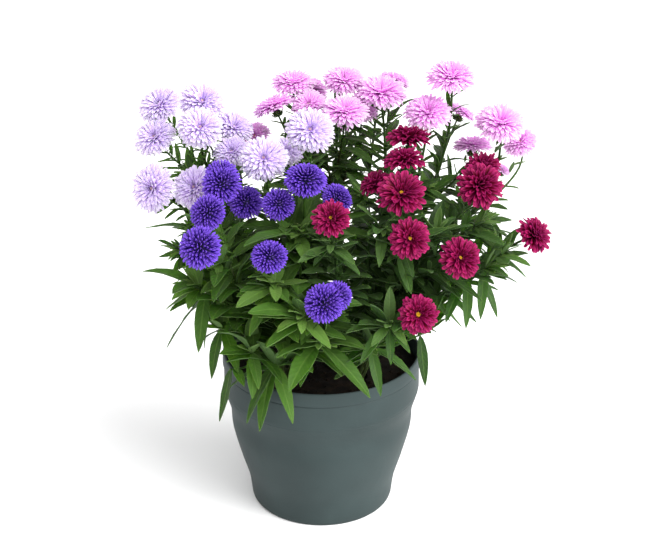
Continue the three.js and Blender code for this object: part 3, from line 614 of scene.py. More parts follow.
def soil_looks():
    looks = Looks("dark_peat", 0.15)
    lumps = looks.grain(160.0, 6.0)
    lumpy = looks.step(lumps, 0.35, 0.7)
    dry = looks.step(looks.grain(45.0), 0.6, 0.8)
    colour = looks.coats("0c0906", (lumpy, "1c140d"), (dry * 0.3, "281e15"))
    return looks.done(colour, 0.82 + lumps * 0.15, lumps, 0.0015, 0.8)


def floor_looks():
    looks = Looks("plain_floor", 0.1)
    return looks.done(looks.coats("f6f6f6", (looks.grain(2.0), "f8f8f8")), 0.9)


# Shapes that are repeated: flat blades, rods and knobs, each closed, with their traits

TRAITS = ("along", "across", "under", "own", "young", "bark")


class Shape:
    """A small closed mesh and where its points lie."""

    def __init__(self, name, form, finish=0):
        for face in form.faces:
            face.material_index = finish
        self.mesh = mesh_of(name, form)
        co = np.empty(len(self.mesh.vertices) * 3)
        self.mesh.vertices.foreach_get("co", co)
        self.co = co.reshape(-1, 3)

    def blade(self):
        """How far a flat blade's points lie across, along and under it."""
        return self.co[:, 0], self.co[:, 1], -self.co[:, 2]

    def stretched(self, radius, height, level):
        """A round shape's points at this radius, height and level."""
        return self.co * np.array([radius, radius, height]) + UP * level


def blade_shape(name, columns, stations):
    """A flat blade: x across from -1 to 1, y the station from 0 to 1, z 0 above and -1 below."""
    form = bmesh.new()
    rows = len(stations) - 1
    bmesh.ops.create_grid(form, x_segments=columns, y_segments=rows, size=1)
    bmesh.ops.solidify(form, geom=form.faces[:], thickness=1)
    for vert in form.verts:
        vert.co.y = stations[round((vert.co.y + 1) / 2 * rows)]
    return Shape(name, form)


def cone(form, sides, foot_radius, top_radius, middle=(0, 0, 0.5), height=1):
    """An upright closed cone, from z 0 to z 1 if no more is said."""
    radii = {"radius1": foot_radius, "radius2": top_radius}
    made = bmesh.ops.create_cone(form, cap_ends=True, segments=sides, depth=height, **radii)
    bmesh.ops.translate(form, verts=made["verts"], vec=middle)


def rod_shape(name, sides, rings):
    """A rod of radius 1 from z 0 to z 1."""
    form = bmesh.new()
    cone(form, sides, 1, 1)
    uprights = [edge for edge in form.edges if abs(edge.verts[0].co.z - edge.verts[1].co.z) > 0.5]
    bmesh.ops.subdivide_edges(form, edges=uprights, cuts=rings, use_grid_fill=True)
    return Shape(name, form)


def knob_shape(name, u_segments, v_segments, finish=0):
    form = bmesh.new()
    bmesh.ops.create_uvsphere(form, u_segments=u_segments, v_segments=v_segments, radius=1)
    return Shape(name, form, finish)


def floret_shape(name):
    form = bmesh.new()
    cone(form, 5, 0.7, 1)
    return Shape(name, form, 1)


LARGE_LEAF = blade_shape("large_leaf", 4, [0, 0.1, 0.25, 0.42, 0.6, 0.78, 0.91, 1])
SMALL_LEAF = blade_shape("small_leaf", 2, [0, 0.14, 0.4, 0.68, 0.88, 1])
PETAL = blade_shape("petal", 2, [0, 0.35, 0.68, 0.91, 1])
FINE_PETAL = blade_shape("fine_petal", 2, [0, 0.42, 0.82, 1])
LONG_ROD = rod_shape("long_rod", 7, 15)
SHORT_ROD = rod_shape("short_rod", 9, 5)
CORE = knob_shape("core", 14, 8)
CUP = knob_shape("cup", 12, 7)
EYE = knob_shape("eye", 12, 6, 1)
FLORET = floret_shape("floret")


class Piece:
    """Copies of the shapes, placed one by one and joined at the end."""

    def __init__(self, name):
        self.name = name
        self.form = bmesh.new()
        self.places = []
        self.traits = []

    def add(self, shape, places, along=0.0, across=0.0, under=0.0, own=0.5, young=0.0, bark=0.0):
        self.form.from_mesh(shape.mesh)
        self.places.append(places)
        values = (along, across, under, own, young, bark)
        self.traits.append([np.broadcast_to(value, len(places)) for value in values])

    def mesh(self):
        mesh = mesh_of(self.name, self.form)
        mesh.vertices.foreach_set("co", (np.concatenate(self.places) * MM).ravel())
        for trait, values in zip(TRAITS, np.hstack(self.traits)):
            mesh.attributes.new(trait, "FLOAT", "POINT").data.foreach_set("value", values)
        mesh.update()
        return mesh


def show(name, mesh, materials, nodes, crease=40):
    for material in materials:
        mesh.materials.append(material)
    mesh.shade_smooth()
    mesh.set_sharp_from_angle(angle=crease * DEGREE)
    piece = placed(name, mesh)
    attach(piece, "root")
    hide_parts(*nodes)


# Pot and soil


def smooth_line(points, cuts):
    """More points between the given ones, on a smooth line through them."""
    points = np.array(points, float)
    padded = np.vstack([points[0], points, points[-1]])
    line = []
    for a, b, c, d in zip(padded, padded[1:], padded[2:], padded[3:]):
        bow = 2 * a - 5 * b + 4 * c - d
        twist = 3 * b - a - 3 * c + d
        for t in np.arange(cuts) / cuts:
            line.append(0.5 * (2 * b + (c - a) * t + bow * t**2 + twist * t**3))
    return [*line, points[-1]]


def spun(line, steps):
    """A line of radius and height turned into a closed body."""
    form = bmesh.new()
    verts = [form.verts.new((radius, 0, height)) for radius, height in line]
    edges = [form.edges.new(pair) for pair in zip(verts, verts[1:])]
    centre, axis = (0, 0, 0), (0, 0, 1)
    bmesh.ops.spin(
        form, geom=[*verts, *edges], cent=centre, axis=axis, angle=ROUND, steps=steps, use_merge=True
    )
    bmesh.ops.remove_doubles(form, verts=form.verts[:], dist=0.001)
    bmesh.ops.recalc_face_normals(form, faces=form.faces[:])
    return form


def pierced(mesh, places, radius, low, high):
    """The mesh with upright round holes through it."""
    form = bmesh.new()
    for x, y in places:
        cone(form, 32, radius, radius, (x, y, (low + high) / 2), high - low)
    drill = placed("drill", mesh_of("drill", form))
    blank = placed("blank", mesh)
    cut = blank.modifiers.new("holes", "BOOLEAN")
    cut.operation = "DIFFERENCE"
    cut.object = drill
    cut.solver = "EXACT"
    graph = bpy.context.evaluated_depsgraph_get()
    result = bpy.data.meshes.new_from_object(blank.evaluated_get(graph))
    bpy.data.objects.remove(drill)
    bpy.data.objects.remove(blank)
    return result


def inner_wall(gap):
    radius_at = {height: radius for radius, height in POT_OUTLINE}
    return [(radius_at[height] - POT_WALL - gap, height) for height in POT_INNER_HEIGHTS]


def inner_foot(gap):
    return POT_OUTLINE[1][0] - POT_WALL - gap, POT_FLOOR + gap


def make_pot():
    foot = inner_foot(0)
    body = smooth_line(POT_BODY, 7)
    zone = smooth_line(POT_ZONE, 5)
    rim = smooth_line(POT_RIM, 3)
    inside = smooth_line([POT_INSIDE_RIM, *inner_wall(0), foot], 3)
    line = [*POT_FOOT, *body, *POT_SHOULDER, *zone, *POT_LEDGE, *rim, *inside, (0, POT_FLOOR)]
    mesh = mesh_of("moulded_pot", spun(line, POT_SIDES))
    places = [(sideways(ROUND * i / DRAIN_HOLES) * DRAIN_CIRCLE)[:2] for i in range(DRAIN_HOLES)]
    mesh = pierced(mesh, places, DRAIN_RADIUS, -POT_FLOOR, 2 * POT_FLOOR)
    mesh.transform(Matrix.Scale(MM, 4))
    show("moulded_pot", mesh, [pot_looks()], ["pot"], 30)


def soil_height(x, y):
    """The crumbly top of the peat."""
    radii, levels = zip((0, SOIL_MIDDLE), *reversed(SOIL_RINGS), SOIL_EDGE)
    level = np.interp(hypot(x, y), radii, levels)
    clods = relief.noise(Vector((x, y, 0)) * CLOD_SCALE) * CLOD_HEIGHT
    crumbs = relief.noise(Vector((x, y, CRUMB_LEVEL)) * CRUMB_SCALE)
    return level + clods + crumbs - SOIL_SINK


def add_crumbs(form, crowns):
    """Loose crumbs on the peat, away from the crowns."""
    for i in range(CRUMBS):
        radius = CRUMB_REACH * sqrt(draw(i * 3 + 0.1))
        x, y, _ = sideways(ROUND * draw(i * 3 + 1.1)) * radius
        if min(hypot(x - cx, y - cy) for cx, cy in crowns) < CROWN_HOLE_RADIUS + CRUMB_ROOM:
            continue
        size = CRUMB_SIZE + CRUMB_SIZE_DRAW * draw(i * 3 + 2.1) ** 2
        made = bmesh.ops.create_icosphere(form, subdivisions=1, radius=1)
        for vert in made["verts"]:
            dents = relief.noise(vert.co * CRUMB_DENT_SCALE + Vector((i, 0, 0)))
            seat = Vector((x, y, soil_height(x, y) + CRUMB_SEAT))
            vert.co = seat + vert.co * size * (1 + CRUMB_DENTS * dents)


def make_soil():
    foot_radius, bottom = inner_foot(SEAT_GAP)
    sides = [(0, bottom), (foot_radius, bottom), *reversed(inner_wall(SEAT_GAP))]
    top_rings = [(radius, SOIL_MIDDLE) for radius in np.linspace(SOIL_EDGE[0], 0, SOIL_TOP_RINGS)]
    form = spun([*sides, *top_rings], SOIL_SIDES)
    for vert in form.verts:
        if vert.co.z > SOIL_MIDDLE - SOIL_TOP_MARGIN:
            vert.co.z = soil_height(vert.co.x, vert.co.y)
    crowns = [plant["crown"] for plant in PLANTS.values()]
    hole = (CROWN_HOLE_RADIUS, CROWN_BOTTOM - SEAT_GAP, CROWN_TOP + CROWN_HOLE_ABOVE)
    mesh = pierced(mesh_of("peat", form), crowns, *hole)
    form = bmesh.new()
    form.from_mesh(mesh)
    add_crumbs(form, crowns)
    form.to_mesh(mesh)
    form.free()
    mesh.transform(Matrix.Scale(MM, 4))
    show("peat", mesh, [soil_looks()], ["soil"], 60)


# Blooms


class Bloom:
    """Where a head of petals sits and where it faces."""

    def __init__(self, plant, row, seed):
        x, y, z, diameter, azimuth, elevation = row
        self.kind = plant["head"]
        self.radius = diameter / 2
        self.facing = raised(sideways(azimuth * DEGREE), UP, elevation * DEGREE)
        self.height = HEAD_HEIGHTS[self.kind] * self.radius
        self.base = np.array([x, y, z]) - self.facing * self.height / 2
        self.seed = seed

    def holds(self, points, margin):
        """Which of the points lie in the space that the bloom takes up."""
        offset = points - self.base
        along = offset @ self.facing
        across = norm(offset - np.outer(along, self.facing), axis=1)
        return (along > -margin) & (along < self.height + margin) & (across < self.radius + margin)

    def turned(self, points):
        """Points from the bloom's own upright frame to where it sits."""
        x, y, z = np.cross(UP, self.facing)
        skew = np.array([[0, -z, y], [z, 0, -x], [-y, x, 0]])
        turn = np.eye(3) + skew + skew @ skew / (1 + self.facing[2])
        return points @ turn.T + self.base


def ball_layers():
    """Layers of petals whose tips lie all over a ball."""
    for angle, count in zip(BALL_ANGLES, BALL_COUNTS):
        out = sin(angle * DEGREE)
        rise = BALL_CENTRE + BALL_CENTRE * cos(angle * DEGREE)
        handle = (out * BALL_HANDLE_OUT, rise * BALL_HANDLE_RISE + BALL_HANDLE_UP)
        yield count, out, rise, *handle, BALL_HALF_WIDTH


LAYERS["ball"] = list(ball_layers())


def petal_width(along, kind):
    """Narrow at the root, widest past the middle, with a rounded tip."""
    opened = PETAL_FOOT_WIDTH + PETAL_WIDENING * np.clip(along / PETAL_WIDEST, 0, 1) ** PETAL_OPENING
    end = np.clip((along - PETAL_TIP_START) / PETAL_TIP_LENGTH, 0, 1)
    return opened * (1 - PETAL_BLUNTNESS[kind] * end**PETAL_CLOSING)


def add_petal(piece, bloom, layer, turn, seed, inner):
    tip_out, tip_up, mid_out, mid_up, half_width = layer
    root = np.array(ROOTS[bloom.kind])
    reach_draw, rise_draw = PETAL_DRAW[bloom.kind]
    reach = 1 + reach_draw * (2 * draw(seed) - 1)
    tip = np.array([tip_out * reach, tip_up + rise_draw * swing(seed + 0.3)])
    middle = np.array([mid_out, mid_up])
    shape = FINE_PETAL if bloom.kind == "rays" else PETAL
    across, along, under = shape.blade()
    s = (along * (1 - TIP_ROUNDING * across**2 * along**4))[:, None]
    line = bent(s, root, middle, tip)
    heading = units(2 * (1 - s) * (middle - root) + 2 * s * (tip - middle))
    half = half_width * petal_width(along, bloom.kind) * within(PETAL_WIDTHS, seed + 0.6)
    cup = PETAL_CUP[bloom.kind] * half * across**2 - under * PETAL_THICKNESS / bloom.radius
    twist = swing(seed + 0.9) * PETAL_TWIST[bloom.kind] * DEGREE
    aside, lift = rolled(across * half, cup, twist)
    out = line[:, 0] - heading[:, 1] * lift
    rise = line[:, 1] + heading[:, 0] * lift
    points = bloom.turned(swung(out, aside, rise, turn) * bloom.radius)
    piece.add(shape, points, along, across, under, draw(seed + 1.7), inner)


def add_head(piece, bloom, layers):
    core_radius, core_level, core_height = CORES[bloom.kind]
    core = CORE.stretched(core_radius, core_height, core_level)
    piece.add(CORE, bloom.turned(core * bloom.radius), own=0.2, young=1.0)
    for k, (count, *layer) in enumerate(layers):
        inner = k / (len(layers) - 1)
        for i in range(count):
            seed = bloom.seed * HEAD_SEED + k * LAYER_SEED + i
            turn = ROUND * (i + 0.5 * (k % 2) + 0.5 * swing(seed + 0.5)) / count
            add_petal(piece, bloom, layer, turn, seed, inner)


def add_eye(piece, bloom, own_radius):
    """The small disc of florets in the middle of an open bloom."""
    radius, level = EYES[bloom.kind]
    radius = own_radius or radius
    disc = EYE.stretched(radius, radius * EYE_DEPTH, level)
    piece.add(EYE, bloom.turned(disc * bloom.radius), 0.2, own=0.8)
    floret = FLORET.stretched(
        FLORET_RADIUS / bloom.radius, radius * FLORET_HEIGHT, level + radius * FLORET_LEVEL
    )
    for i in range(FLORETS):
        spread = radius * FLORET_SPREAD * sqrt((i + 0.5) / FLORETS)
        points = floret + sideways(i * TURN_PER_LEAF) * spread
        piece.add(FLORET, bloom.turned(points * bloom.radius), FLORET.co[:, 2], own=draw(i + 0.4))


def make_bloom(name, number, plant, bloom, materials):
    piece = Piece(f"petals_{name}_{number + 1}")
    layers = LAYERS[bloom.kind]
    eyes = plant.get("eyes", {})
    is_open = bloom.kind == "rays" or number in eyes
    if bloom.kind == "dome" and is_open:
        layers = [*layers[: -len(OPEN_THROAT)], *OPEN_THROAT]
    add_head(piece, bloom, layers)
    if is_open:
        add_eye(piece, bloom, eyes.get(number))
    if number in plant.get("lobes", {}):
        facing = plant["blooms"][number][4:]
        add_head(piece, Bloom(plant, (*plant["lobes"][number], *facing), bloom.seed + 1), layers)
    show(piece.name, piece.mesh(), materials, [f"bloom_{name}_{number + 1}"])


# Stems


class Line:
    """A smooth stem line, read by the share of its length."""

    def __init__(self, handles):
        self.handles = np.array(handles)
        self.marks = marks(self.points(LINE_STEPS))
        self.length = self.marks[-1]

    def points(self, t):
        t = np.atleast_1d(t)[:, None]
        a, b, c, d = self.handles
        return (1 - t) ** 3 * a + 3 * (1 - t) ** 2 * t * b + 3 * (1 - t) * t**2 * c + t**3 * d

    def share(self, u):
        return np.interp(np.asarray(u) * self.length, self.marks, LINE_STEPS)

    def at(self, u):
        return self.points(self.share(u))

    def headings(self, u):
        t = np.atleast_1d(self.share(u))[:, None]
        return units(bent(t, *np.diff(self.handles, axis=0)))


class Stem:
    """A stem's line, and the straight pieces that stand for it in the solid."""

    def __init__(self, line, kind, tips):
        self.line = line
        self.kind = kind
        self.flowering = kind != "shoot"
        self.tips = tips
        self.samples = line.points(STEM_STEPS)
        pieces = max(2, floor(line.length / STEM_PIECE + 0.5))
        self.corners = line.at(np.linspace(0, 1, pieces + 1))
        self.marks = marks(self.corners)
        self.length = self.marks[-1]

    def axis_at(self, u):
        return np.array([np.interp(u * self.length, self.marks, self.corners[:, k]) for k in range(3)])


def route(start, away, end, facing, neighbours, blooms):
    """The line that bows least to pass the other stems and all blooms."""
    span = norm(end - start)
    straight = (end - start) / span
    side = unit(np.cross(straight, UP))
    inward = np.cross(side, straight)
    best, best_room = None, None
    for aside, inwards in BOWS:
        bow = side * aside + inward * inwards
        first = start + away * CURVE_HANDLES[0] * span + bow
        second = end - facing * CURVE_HANDLES[1] * span + bow
        line = Line([start, first, second, end])
        points = line.points(STEM_STEPS)
        blocked = np.zeros(len(points) - 2, bool)
        for bloom in blooms:
            blocked |= bloom.holds(points[:-2], BLOOM_ROOM)
        nearest = STEM_ROOM
        if len(neighbours):
            gaps = norm(points[:, None] - neighbours, axis=2)
            nearest = min(gaps.min(), STEM_ROOM)
        room = nearest - STEM_ROOM * blocked.sum()
        if best is None or room > best_room:
            best, best_room = line, room
        if room >= STEM_ROOM:
            break
    return best


def leader_sides(plant, blooms, crown):
    """Where each leader leaves the crown, all round its top in the order of their fan."""
    ends = [bloom.base for bloom in blooms[: plant["leaders"]]]
    middle = sum(ends) / len(ends)

    def heading(p):
        return atan2(p[1] - crown[1], p[0] - crown[0])

    def offset(i):
        turn = heading(ends[i]) - heading(middle)
        return atan2(sin(turn), cos(turn))

    order = sorted(range(len(ends)), key=offset)
    ranks = [order.index(i) - (len(ends) - 1) / 2 for i in range(len(ends))]
    return [sideways(heading(middle) + rank / len(ends) * ROUND) for rank in ranks]


def grow_stems(plant, blooms, all_blooms, strangers):
    crown = np.array([*plant["crown"], STEM_START], float)
    sides = leader_sides(plant, blooms, crown)
    stems = []

    def add(start, away, end, facing, others, kind, tips=()):
        siblings = [stem.samples for stem in stems]
        own = np.concatenate(siblings) if siblings else np.empty((0, 3))
        own = own[norm(own - start, axis=1) > FORK_ROOM]
        line = route(start, away, end, facing, np.concatenate([strangers, own]), others)
        stems.append(Stem(line, kind, tips))

    def fork(end, starts, i):
        """Where a side stem leaves the nearest leader, and which way."""
        leaders = [stem for stem in stems if stem.kind == "leader"]
        leader = min(leaders, key=lambda stem: norm(stem.line.points(MOST_OF_THE_WAY)[0] - end))
        share = starts[i % len(starts)]
        start = leader.axis_at(share)
        return start, unit(leader.line.headings(share)[0] + unit(end - start) * FORK_LEAN)

    for i, bloom in enumerate(blooms):
        end = bloom.base
        others = [other for other in all_blooms if other is not bloom]
        if i < plant["leaders"]:
            start = crown + sides[i] * CROWN_CIRCLE
            away = unit(UP + flat(end - crown) * LEADER_LEAN)
            add(start, away, end, bloom.facing, others, "leader")
        else:
            add(*fork(end, BRANCH_STARTS, i), end, bloom.facing, others, "branch")
    for i, (end, tips) in enumerate(plant["shoots"]):
        end = np.array(end, float)
        start, away = fork(end, SHOOT_STARTS, i)
        facing = unit(flat(end - start) + UP * SHOOT_RISE)
        add(start, away, end, facing, all_blooms, "shoot", [np.array(tip, float) for tip in tips])
    return stems


# Leaves


class Leaf:
    """A blade's root, its reach before it sags, and its size."""

    def __init__(self, root, reach, sag, half_width):
        self.root = root
        self.reach = reach
        self.sag = sag
        self.half_width = half_width
        self.young = 0.0

    def turned(self, angle):
        cosine, sine = cos(angle * DEGREE), sin(angle * DEGREE)
        x, y, z = self.reach
        reach = np.array([x * cosine - y * sine, x * sine + y * cosine, z])
        return Leaf(self.root, reach, self.sag, self.half_width)

    def point(self, s):
        return self.root + self.reach * s - UP * self.sag * s * s

    def is_clear(self, blooms, farthest=LEAF_REACH_RADIUS):
        """True where it keeps clear of blooms, rim and soil, and doesn't hang low beside the pot."""
        points = np.array([self.point(s) for s in TEST_STATIONS])
        rim_radius, rim_height = POT_OUTLINE[-1]
        radius, height = np.hypot(points[:, 0], points[:, 1]), points[:, 2]
        in_soil = (radius < rim_radius) & (height < SOIL_MIDDLE + RIM_CLEARANCE)
        over_rim = (radius > RIM_ZONE_RADIUS) & (radius < rim_radius + RIM_CLEARANCE)
        in_rim = over_rim & (height < rim_height + RIM_CLEARANCE)
        lowest = HANG_HEIGHT + HANG_SLOPE * (radius - HANG_RADIUS)
        hangs_out = (radius > HANG_RADIUS) & (height < lowest)
        if (in_soil | in_rim | hangs_out | (radius > farthest)).any():
            return False
        return not any(bloom.holds(points, BLOOM_SHELTER).any() for bloom in blooms)

    def is_in_box(self, farthest):
        """True where the tip stays inside the solids' box, and not far outside the bush."""
        tip = self.point(1.0)
        low, high = cad_box
        in_box = all(low[k] + BOX_MARGIN < tip[k] * MM < high[k] - BOX_MARGIN for k in range(3))
        return in_box and hypot(tip[0], tip[1]) < farthest


def leaf_on_stem(stem, u, turn, habit, size, seed):
    root = stem.axis_at(u)
    along = stem.line.headings(u)[0]
    outward = sideways(turn)
    outward = unit(outward - along * (outward @ along))
    length = size * (1 + SIZE_DRAW * swing(seed))
    lift = (LIFT_FOOT + LIFT_GAIN * u + LIFT_DRAW * draw(seed + 1)) * DEGREE
    return Leaf(root, raised(outward, along, lift) * length, habit["sag"] * length, habit["slim"] * length)


def leaf_to(root, tip, habit):
    sag = habit["sag"] * norm(tip - root)
    reach = tip - root + UP * sag
    return Leaf(root, reach, sag, habit["slim"] * norm(reach))


def solid_corners(name):
    """A plant's corner points in the solids, to look up how each blade was turned."""
    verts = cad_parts[name].data.vertices
    tree = kdtree.KDTree(len(verts))
    for i, vert in enumerate(verts):
        tree.insert(vert.co, i)
    tree.balance()
    return tree


def as_in_solid(leaf, corners):
    """The leaf turned as its solid blade is, or None where the solid has no such blade."""
    for angle in OTHER_TURNS:
        tried = leaf.turned(angle)
        if corners.find(Vector(tried.point(1.0) * MM))[2] < LOOKUP_ERROR:
            return tried
    return None


def fine_leaves(plant, stem, at, step, last, turn, size, seed, blooms):
    """The smaller leaves between one large leaf's place and the next."""
    length_share, width_share = plant["fine"]
    for j in range(1, plant["fill"]):
        u = (at + step * j / plant["fill"]) / stem.length
        if u * stem.length > last:
            continue
        own_seed = seed + j * FINE_SEED
        leaf_size = size * within(FINE_SIZES, own_seed + 0.7) * length_share
        leaf = leaf_on_stem(stem, u, turn + j * FINE_TURN, plant["leaf"], leaf_size, own_seed)
        leaf.young = FINE_YOUNG * draw(own_seed + 0.5)
        leaf.half_width *= width_share
        if leaf.is_clear(blooms) and leaf.is_in_box(FINE_REACH_RADIUS):
            yield leaf


def young_leaves(stem, habit, blooms, seed):
    """Young leaves: a rosette at a shoot's end, or tiny ones up to a bloom's neck."""
    count, foot_size, shrinking, foot_lift, lift_gain, tone_gain = NECK if stem.flowering else HEART
    for i in range(count):
        share = i / (count - 1)
        size = habit["high"] * (foot_size - shrinking * share)
        lift = (foot_lift + lift_gain * share) * DEGREE
        if stem.flowering:
            u = 1 - (NECK_TOP + NECK_DEPTH * (1 - share)) / stem.length
            size *= within(NECK_SIZES, seed * YOUNG_SEED + i * 0.77)
        else:
            u = 1 - HEART_DEPTH * (1 - share)
        leaf = leaf_on_stem(stem, u, seed + i * TURN_PER_LEAF, habit, size, seed * YOUNG_SEED + i)
        along = stem.line.headings(u)[0]
        outward = unit(leaf.reach - along * (leaf.reach @ along))
        leaf.reach = raised(outward, along, lift) * norm(leaf.reach)
        leaf.sag *= YOUNG_SAG
        leaf.young = YOUNG_TONE + tone_gain * share
        if leaf.is_clear(blooms, NECK_REACH_RADIUS) and leaf.is_in_box(NECK_REACH_RADIUS):
            yield leaf


def grow_leaves(plant, stems, blooms, first_seed, corners):
    """The leaves of the solid, and the smaller and younger ones between them."""
    habit = plant["leaf"]
    for k, stem in enumerate(stems):
        for i, tip in enumerate(stem.tips):
            leaf = leaf_to(stem.axis_at(TIP_HIGHEST - TIP_STEP * i), tip, habit)
            yield as_in_solid(leaf, corners) or leaf
        last = stem.length - BARE_NECK if stem.flowering else stem.length
        at = BARE_FOOT[stem.kind]
        i = 0
        while at < last:
            u = at / stem.length
            turn = k * TURN_PER_STEM + i * TURN_PER_LEAF
            size = habit["low"] + (habit["high"] - habit["low"]) * (u if stem.flowering else u / 2)
            seed = first_seed + k * STEM_SEED + i * 2
            leaf = leaf_on_stem(stem, u, turn, habit, size, seed)
            kept = leaf.is_clear(blooms) and as_in_solid(leaf, corners)
            if kept:
                yield kept
            step = habit["spacing"] * (SPACING_FOOT + SPACING_GAIN * u)
            yield from fine_leaves(plant, stem, at, step, last, turn, size, seed, blooms)
            at += step
            i += 1
        yield from young_leaves(stem, habit, blooms, first_seed + k)


# Green pieces


def add_leaf(piece, leaf, seed):
    length = norm(leaf.reach)
    shape = LARGE_LEAF if length > SMALL_LEAF_LENGTH else SMALL_LEAF
    across, s, under = shape.blade()
    ahead = leaf.reach / length
    above = unit(UP - ahead * ahead[2]) if abs(ahead[2]) < 0.999 else np.array([0.0, 1.0, 0.0])
    aside = np.cross(ahead, above)
    above = np.cross(aside, units(leaf.reach - 2 * leaf.sag * s[:, None] * UP))
    bulge = np.maximum(np.sin(pi * s**LEAF_BELLY), 0) ** LEAF_TAPER
    half = LEAF_FULLNESS * leaf.half_width * bulge + LEAF_END
    wave = WAVE_DEPTH * length * swing(seed) * np.sin(s * WAVES + draw(seed + 0.2) * WAVE_START_DRAW) * s
    curl = (draw(seed + 0.4) - CURL_MIDDLE) * CURL_ANGLE * DEGREE * s
    fold = half * np.abs(across) * within(FOLD_DEPTHS, seed + 0.6)
    ripple = RIPPLE_DEPTH * half * np.sin(s * RIPPLES + across * 2 + seed) * np.abs(across)
    sideward, upward = rolled(half * across, fold + ripple + wave - under * LEAF_THICKNESS, curl)
    points = leaf.point(s[:, None]) + aside * sideward[:, None] + above * upward[:, None]
    piece.add(shape, points, s, across, under, draw(seed + 0.8), leaf.young)


def add_rod(piece, line, radii, own):
    """A round tapering stem along its line."""
    x, y, u = LONG_ROD.co.T
    headings = line.headings(u)
    guide = unit(np.cross(headings[0], STEM_GUIDE))
    side = units(guide - headings * (headings @ guide)[:, None])
    other = np.cross(headings, side)
    radius = (radii[0] + (radii[1] - radii[0]) * u)[:, None]
    points = line.at(u) + (side * x[:, None] + other * y[:, None]) * radius
    piece.add(LONG_ROD, points, u, 1.0, own=own, bark=np.clip(1 - u * BARK_FADING, 0, 1))


def add_cup(piece, bloom, seed):
    """The green cup under a bloom, with its rows of pointed bracts."""
    size = CUP_RADIUS if bloom.radius > BUD_RADIUS else CUP_RADIUS * BUD_CUP
    cup = CUP.stretched(size * CUP_WIDTH, size * CUP_HEIGHT, -size * CUP_LEVEL)
    piece.add(CUP, bloom.turned(cup), 0.4, 1.0, own=0.4)
    across, s, under = SMALL_LEAF.blade()
    half = BRACT_HALF_WIDTH * size * np.sin(pi * np.clip(s, 0.05, 0.97)) ** 0.6
    lift = -under * BRACT_THICKNESS
    for row, (count, tip_out, tip_up) in enumerate(BRACT_ROWS):
        root = np.array([BRACT_ROOT[0], BRACT_ROOT[1] - BRACT_ROOT_STEP * row]) * size
        middle = np.array([BRACT_MIDDLE[0], BRACT_MIDDLE[1] - BRACT_MIDDLE_STEP * row]) * size
        for i in range(count):
            turn = ROUND * (i + 0.5 * row + 0.4 * draw(seed + i + row * 20)) / count
            tip = np.array([tip_out, tip_up]) * size * within(BRACT_LENGTHS, seed + i)
            line = bent(s[:, None], root, middle, tip)
            points = swung(line[:, 0] - lift * 0.5, across * half, line[:, 1] + lift * 0.8, turn)
            piece.add(SMALL_LEAF, bloom.turned(points), s, across, under, draw(seed + i * 0.3), 0.1)


def add_crown(piece, plant, seed):
    """The woody knobs in their hole, one in the middle and the others round it."""
    foot = np.array([*plant["crown"], CROWN_BOTTOM])
    for i in range(CROWN_KNOBS):
        radius = KNOB_RADIUS if i else MIDDLE_KNOB_RADIUS
        knob = SHORT_ROD.stretched(radius, CROWN_TOP - CROWN_BOTTOM - KNOB_DROP * (i % 3), 0)
        knob[:, :2] *= (1 + KNOB_SWELL * np.sin(SHORT_ROD.co[:, 2] * KNOB_SWELLS + i))[:, None]
        knob += foot + sideways(ROUND * i / CROWN_KNOBS) * (KNOB_CIRCLE if i else 0)
        piece.add(SHORT_ROD, knob, across=1.0, own=draw(seed + i), bark=1.0)


def make_foliage(name, plant, stems, blooms, leaves, material, seed):
    piece = Piece(f"foliage_{name}")
    add_crown(piece, plant, seed)
    for i, stem in enumerate(stems):
        add_rod(piece, stem.line, STEM_RADII[stem.kind], draw(seed + i))
    for i, bloom in enumerate(blooms):
        add_cup(piece, bloom, seed + i * CUP_SEED)
    for i, leaf in enumerate(leaves):
        add_leaf(piece, leaf, seed + i * BLADE_SEED)
    show(piece.name, piece.mesh(), [material], [f"plant_{name}"], 35)


# Everything in place

make_pot()
make_soil()

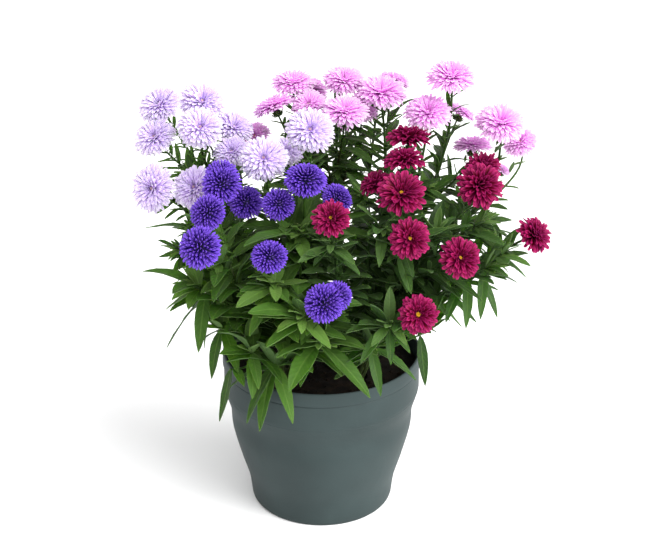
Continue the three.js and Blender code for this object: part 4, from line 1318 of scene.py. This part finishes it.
blooms_of = {
    name: [Bloom(plant, row, BLOOM_SEED * p + i) for i, row in enumerate(plant["blooms"])]
    for p, (name, plant) in enumerate(PLANTS.items())
}
all_blooms = [bloom for blooms in blooms_of.values() for bloom in blooms]
strangers = np.empty((0, 3))
for p, (name, plant) in enumerate(PLANTS.items()):
    seed = PLANT_SEED * (p + 1)
    blooms = blooms_of[name]
    stems = grow_stems(plant, blooms, all_blooms, strangers)
    strangers = np.concatenate([strangers, *[stem.samples for stem in stems]])
    leaves = grow_leaves(plant, stems, all_blooms, seed, solid_corners(f"plant_{name}"))
    green = leaf_looks(f"{name}_plant_green", *plant["green"])
    petal = petal_looks(f"{name}_petal", *plant["petal"])
    eye = eye_looks(f"{name}_eye", *plant["eye"])
    make_foliage(name, plant, stems, blooms, leaves, green, seed)
    for number, bloom in enumerate(blooms):
        make_bloom(name, number, plant, bloom, [petal, eye])


# Floor, light and camera


def make_surroundings():
    form = bmesh.new()
    bmesh.ops.create_grid(form, x_segments=1, y_segments=1, size=6)
    floor = placed("floor", mesh_of("floor", form))
    floor.data.materials.append(floor_looks())
    floor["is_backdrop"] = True
    world = bpy.data.worlds.new("studio")
    world.use_nodes = True
    background = world.node_tree.nodes["Background"].inputs
    background["Color"].default_value = (1, 1, 1, 1)
    background["Strength"].default_value = 0.9
    bpy.context.scene.world = world
    bpy.context.scene.view_settings.view_transform = "Standard"


def soft_sun(name, place, softness, strength):
    """An even light from the direction of the given place."""
    lamp = bpy.data.lights.new(name, "SUN")
    lamp.angle = softness * DEGREE
    lamp.energy = strength
    light = placed(name, lamp)
    light.location = place
    light.rotation_euler = Vector(place).to_track_quat("Z", "Y").to_euler()


def make_camera():
    lens = bpy.data.cameras.new("camera")
    lens.sensor_width = 36
    lens.lens = 82.07
    camera = placed("camera", lens)
    camera.location = (0, -1.291, 0.829)
    camera.rotation_euler = ((90 - CAMERA_DOWN) * DEGREE, 0, CAMERA_TURN * DEGREE)
    bpy.context.scene.camera = camera


make_surroundings()
soft_sun("key", (1.4, -0.9, 1.6), 48, 2.8)
soft_sun("side", (1.8, -0.7, 0.5), 35, 1.7)
soft_sun("fill", (0.8, -1.4, 1.0), 80, 2.0)
make_camera()

boxes = {"cad": cad_box, "visual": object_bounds()}
{name: [list(corner) for corner in box] for name, box in boxes.items()}
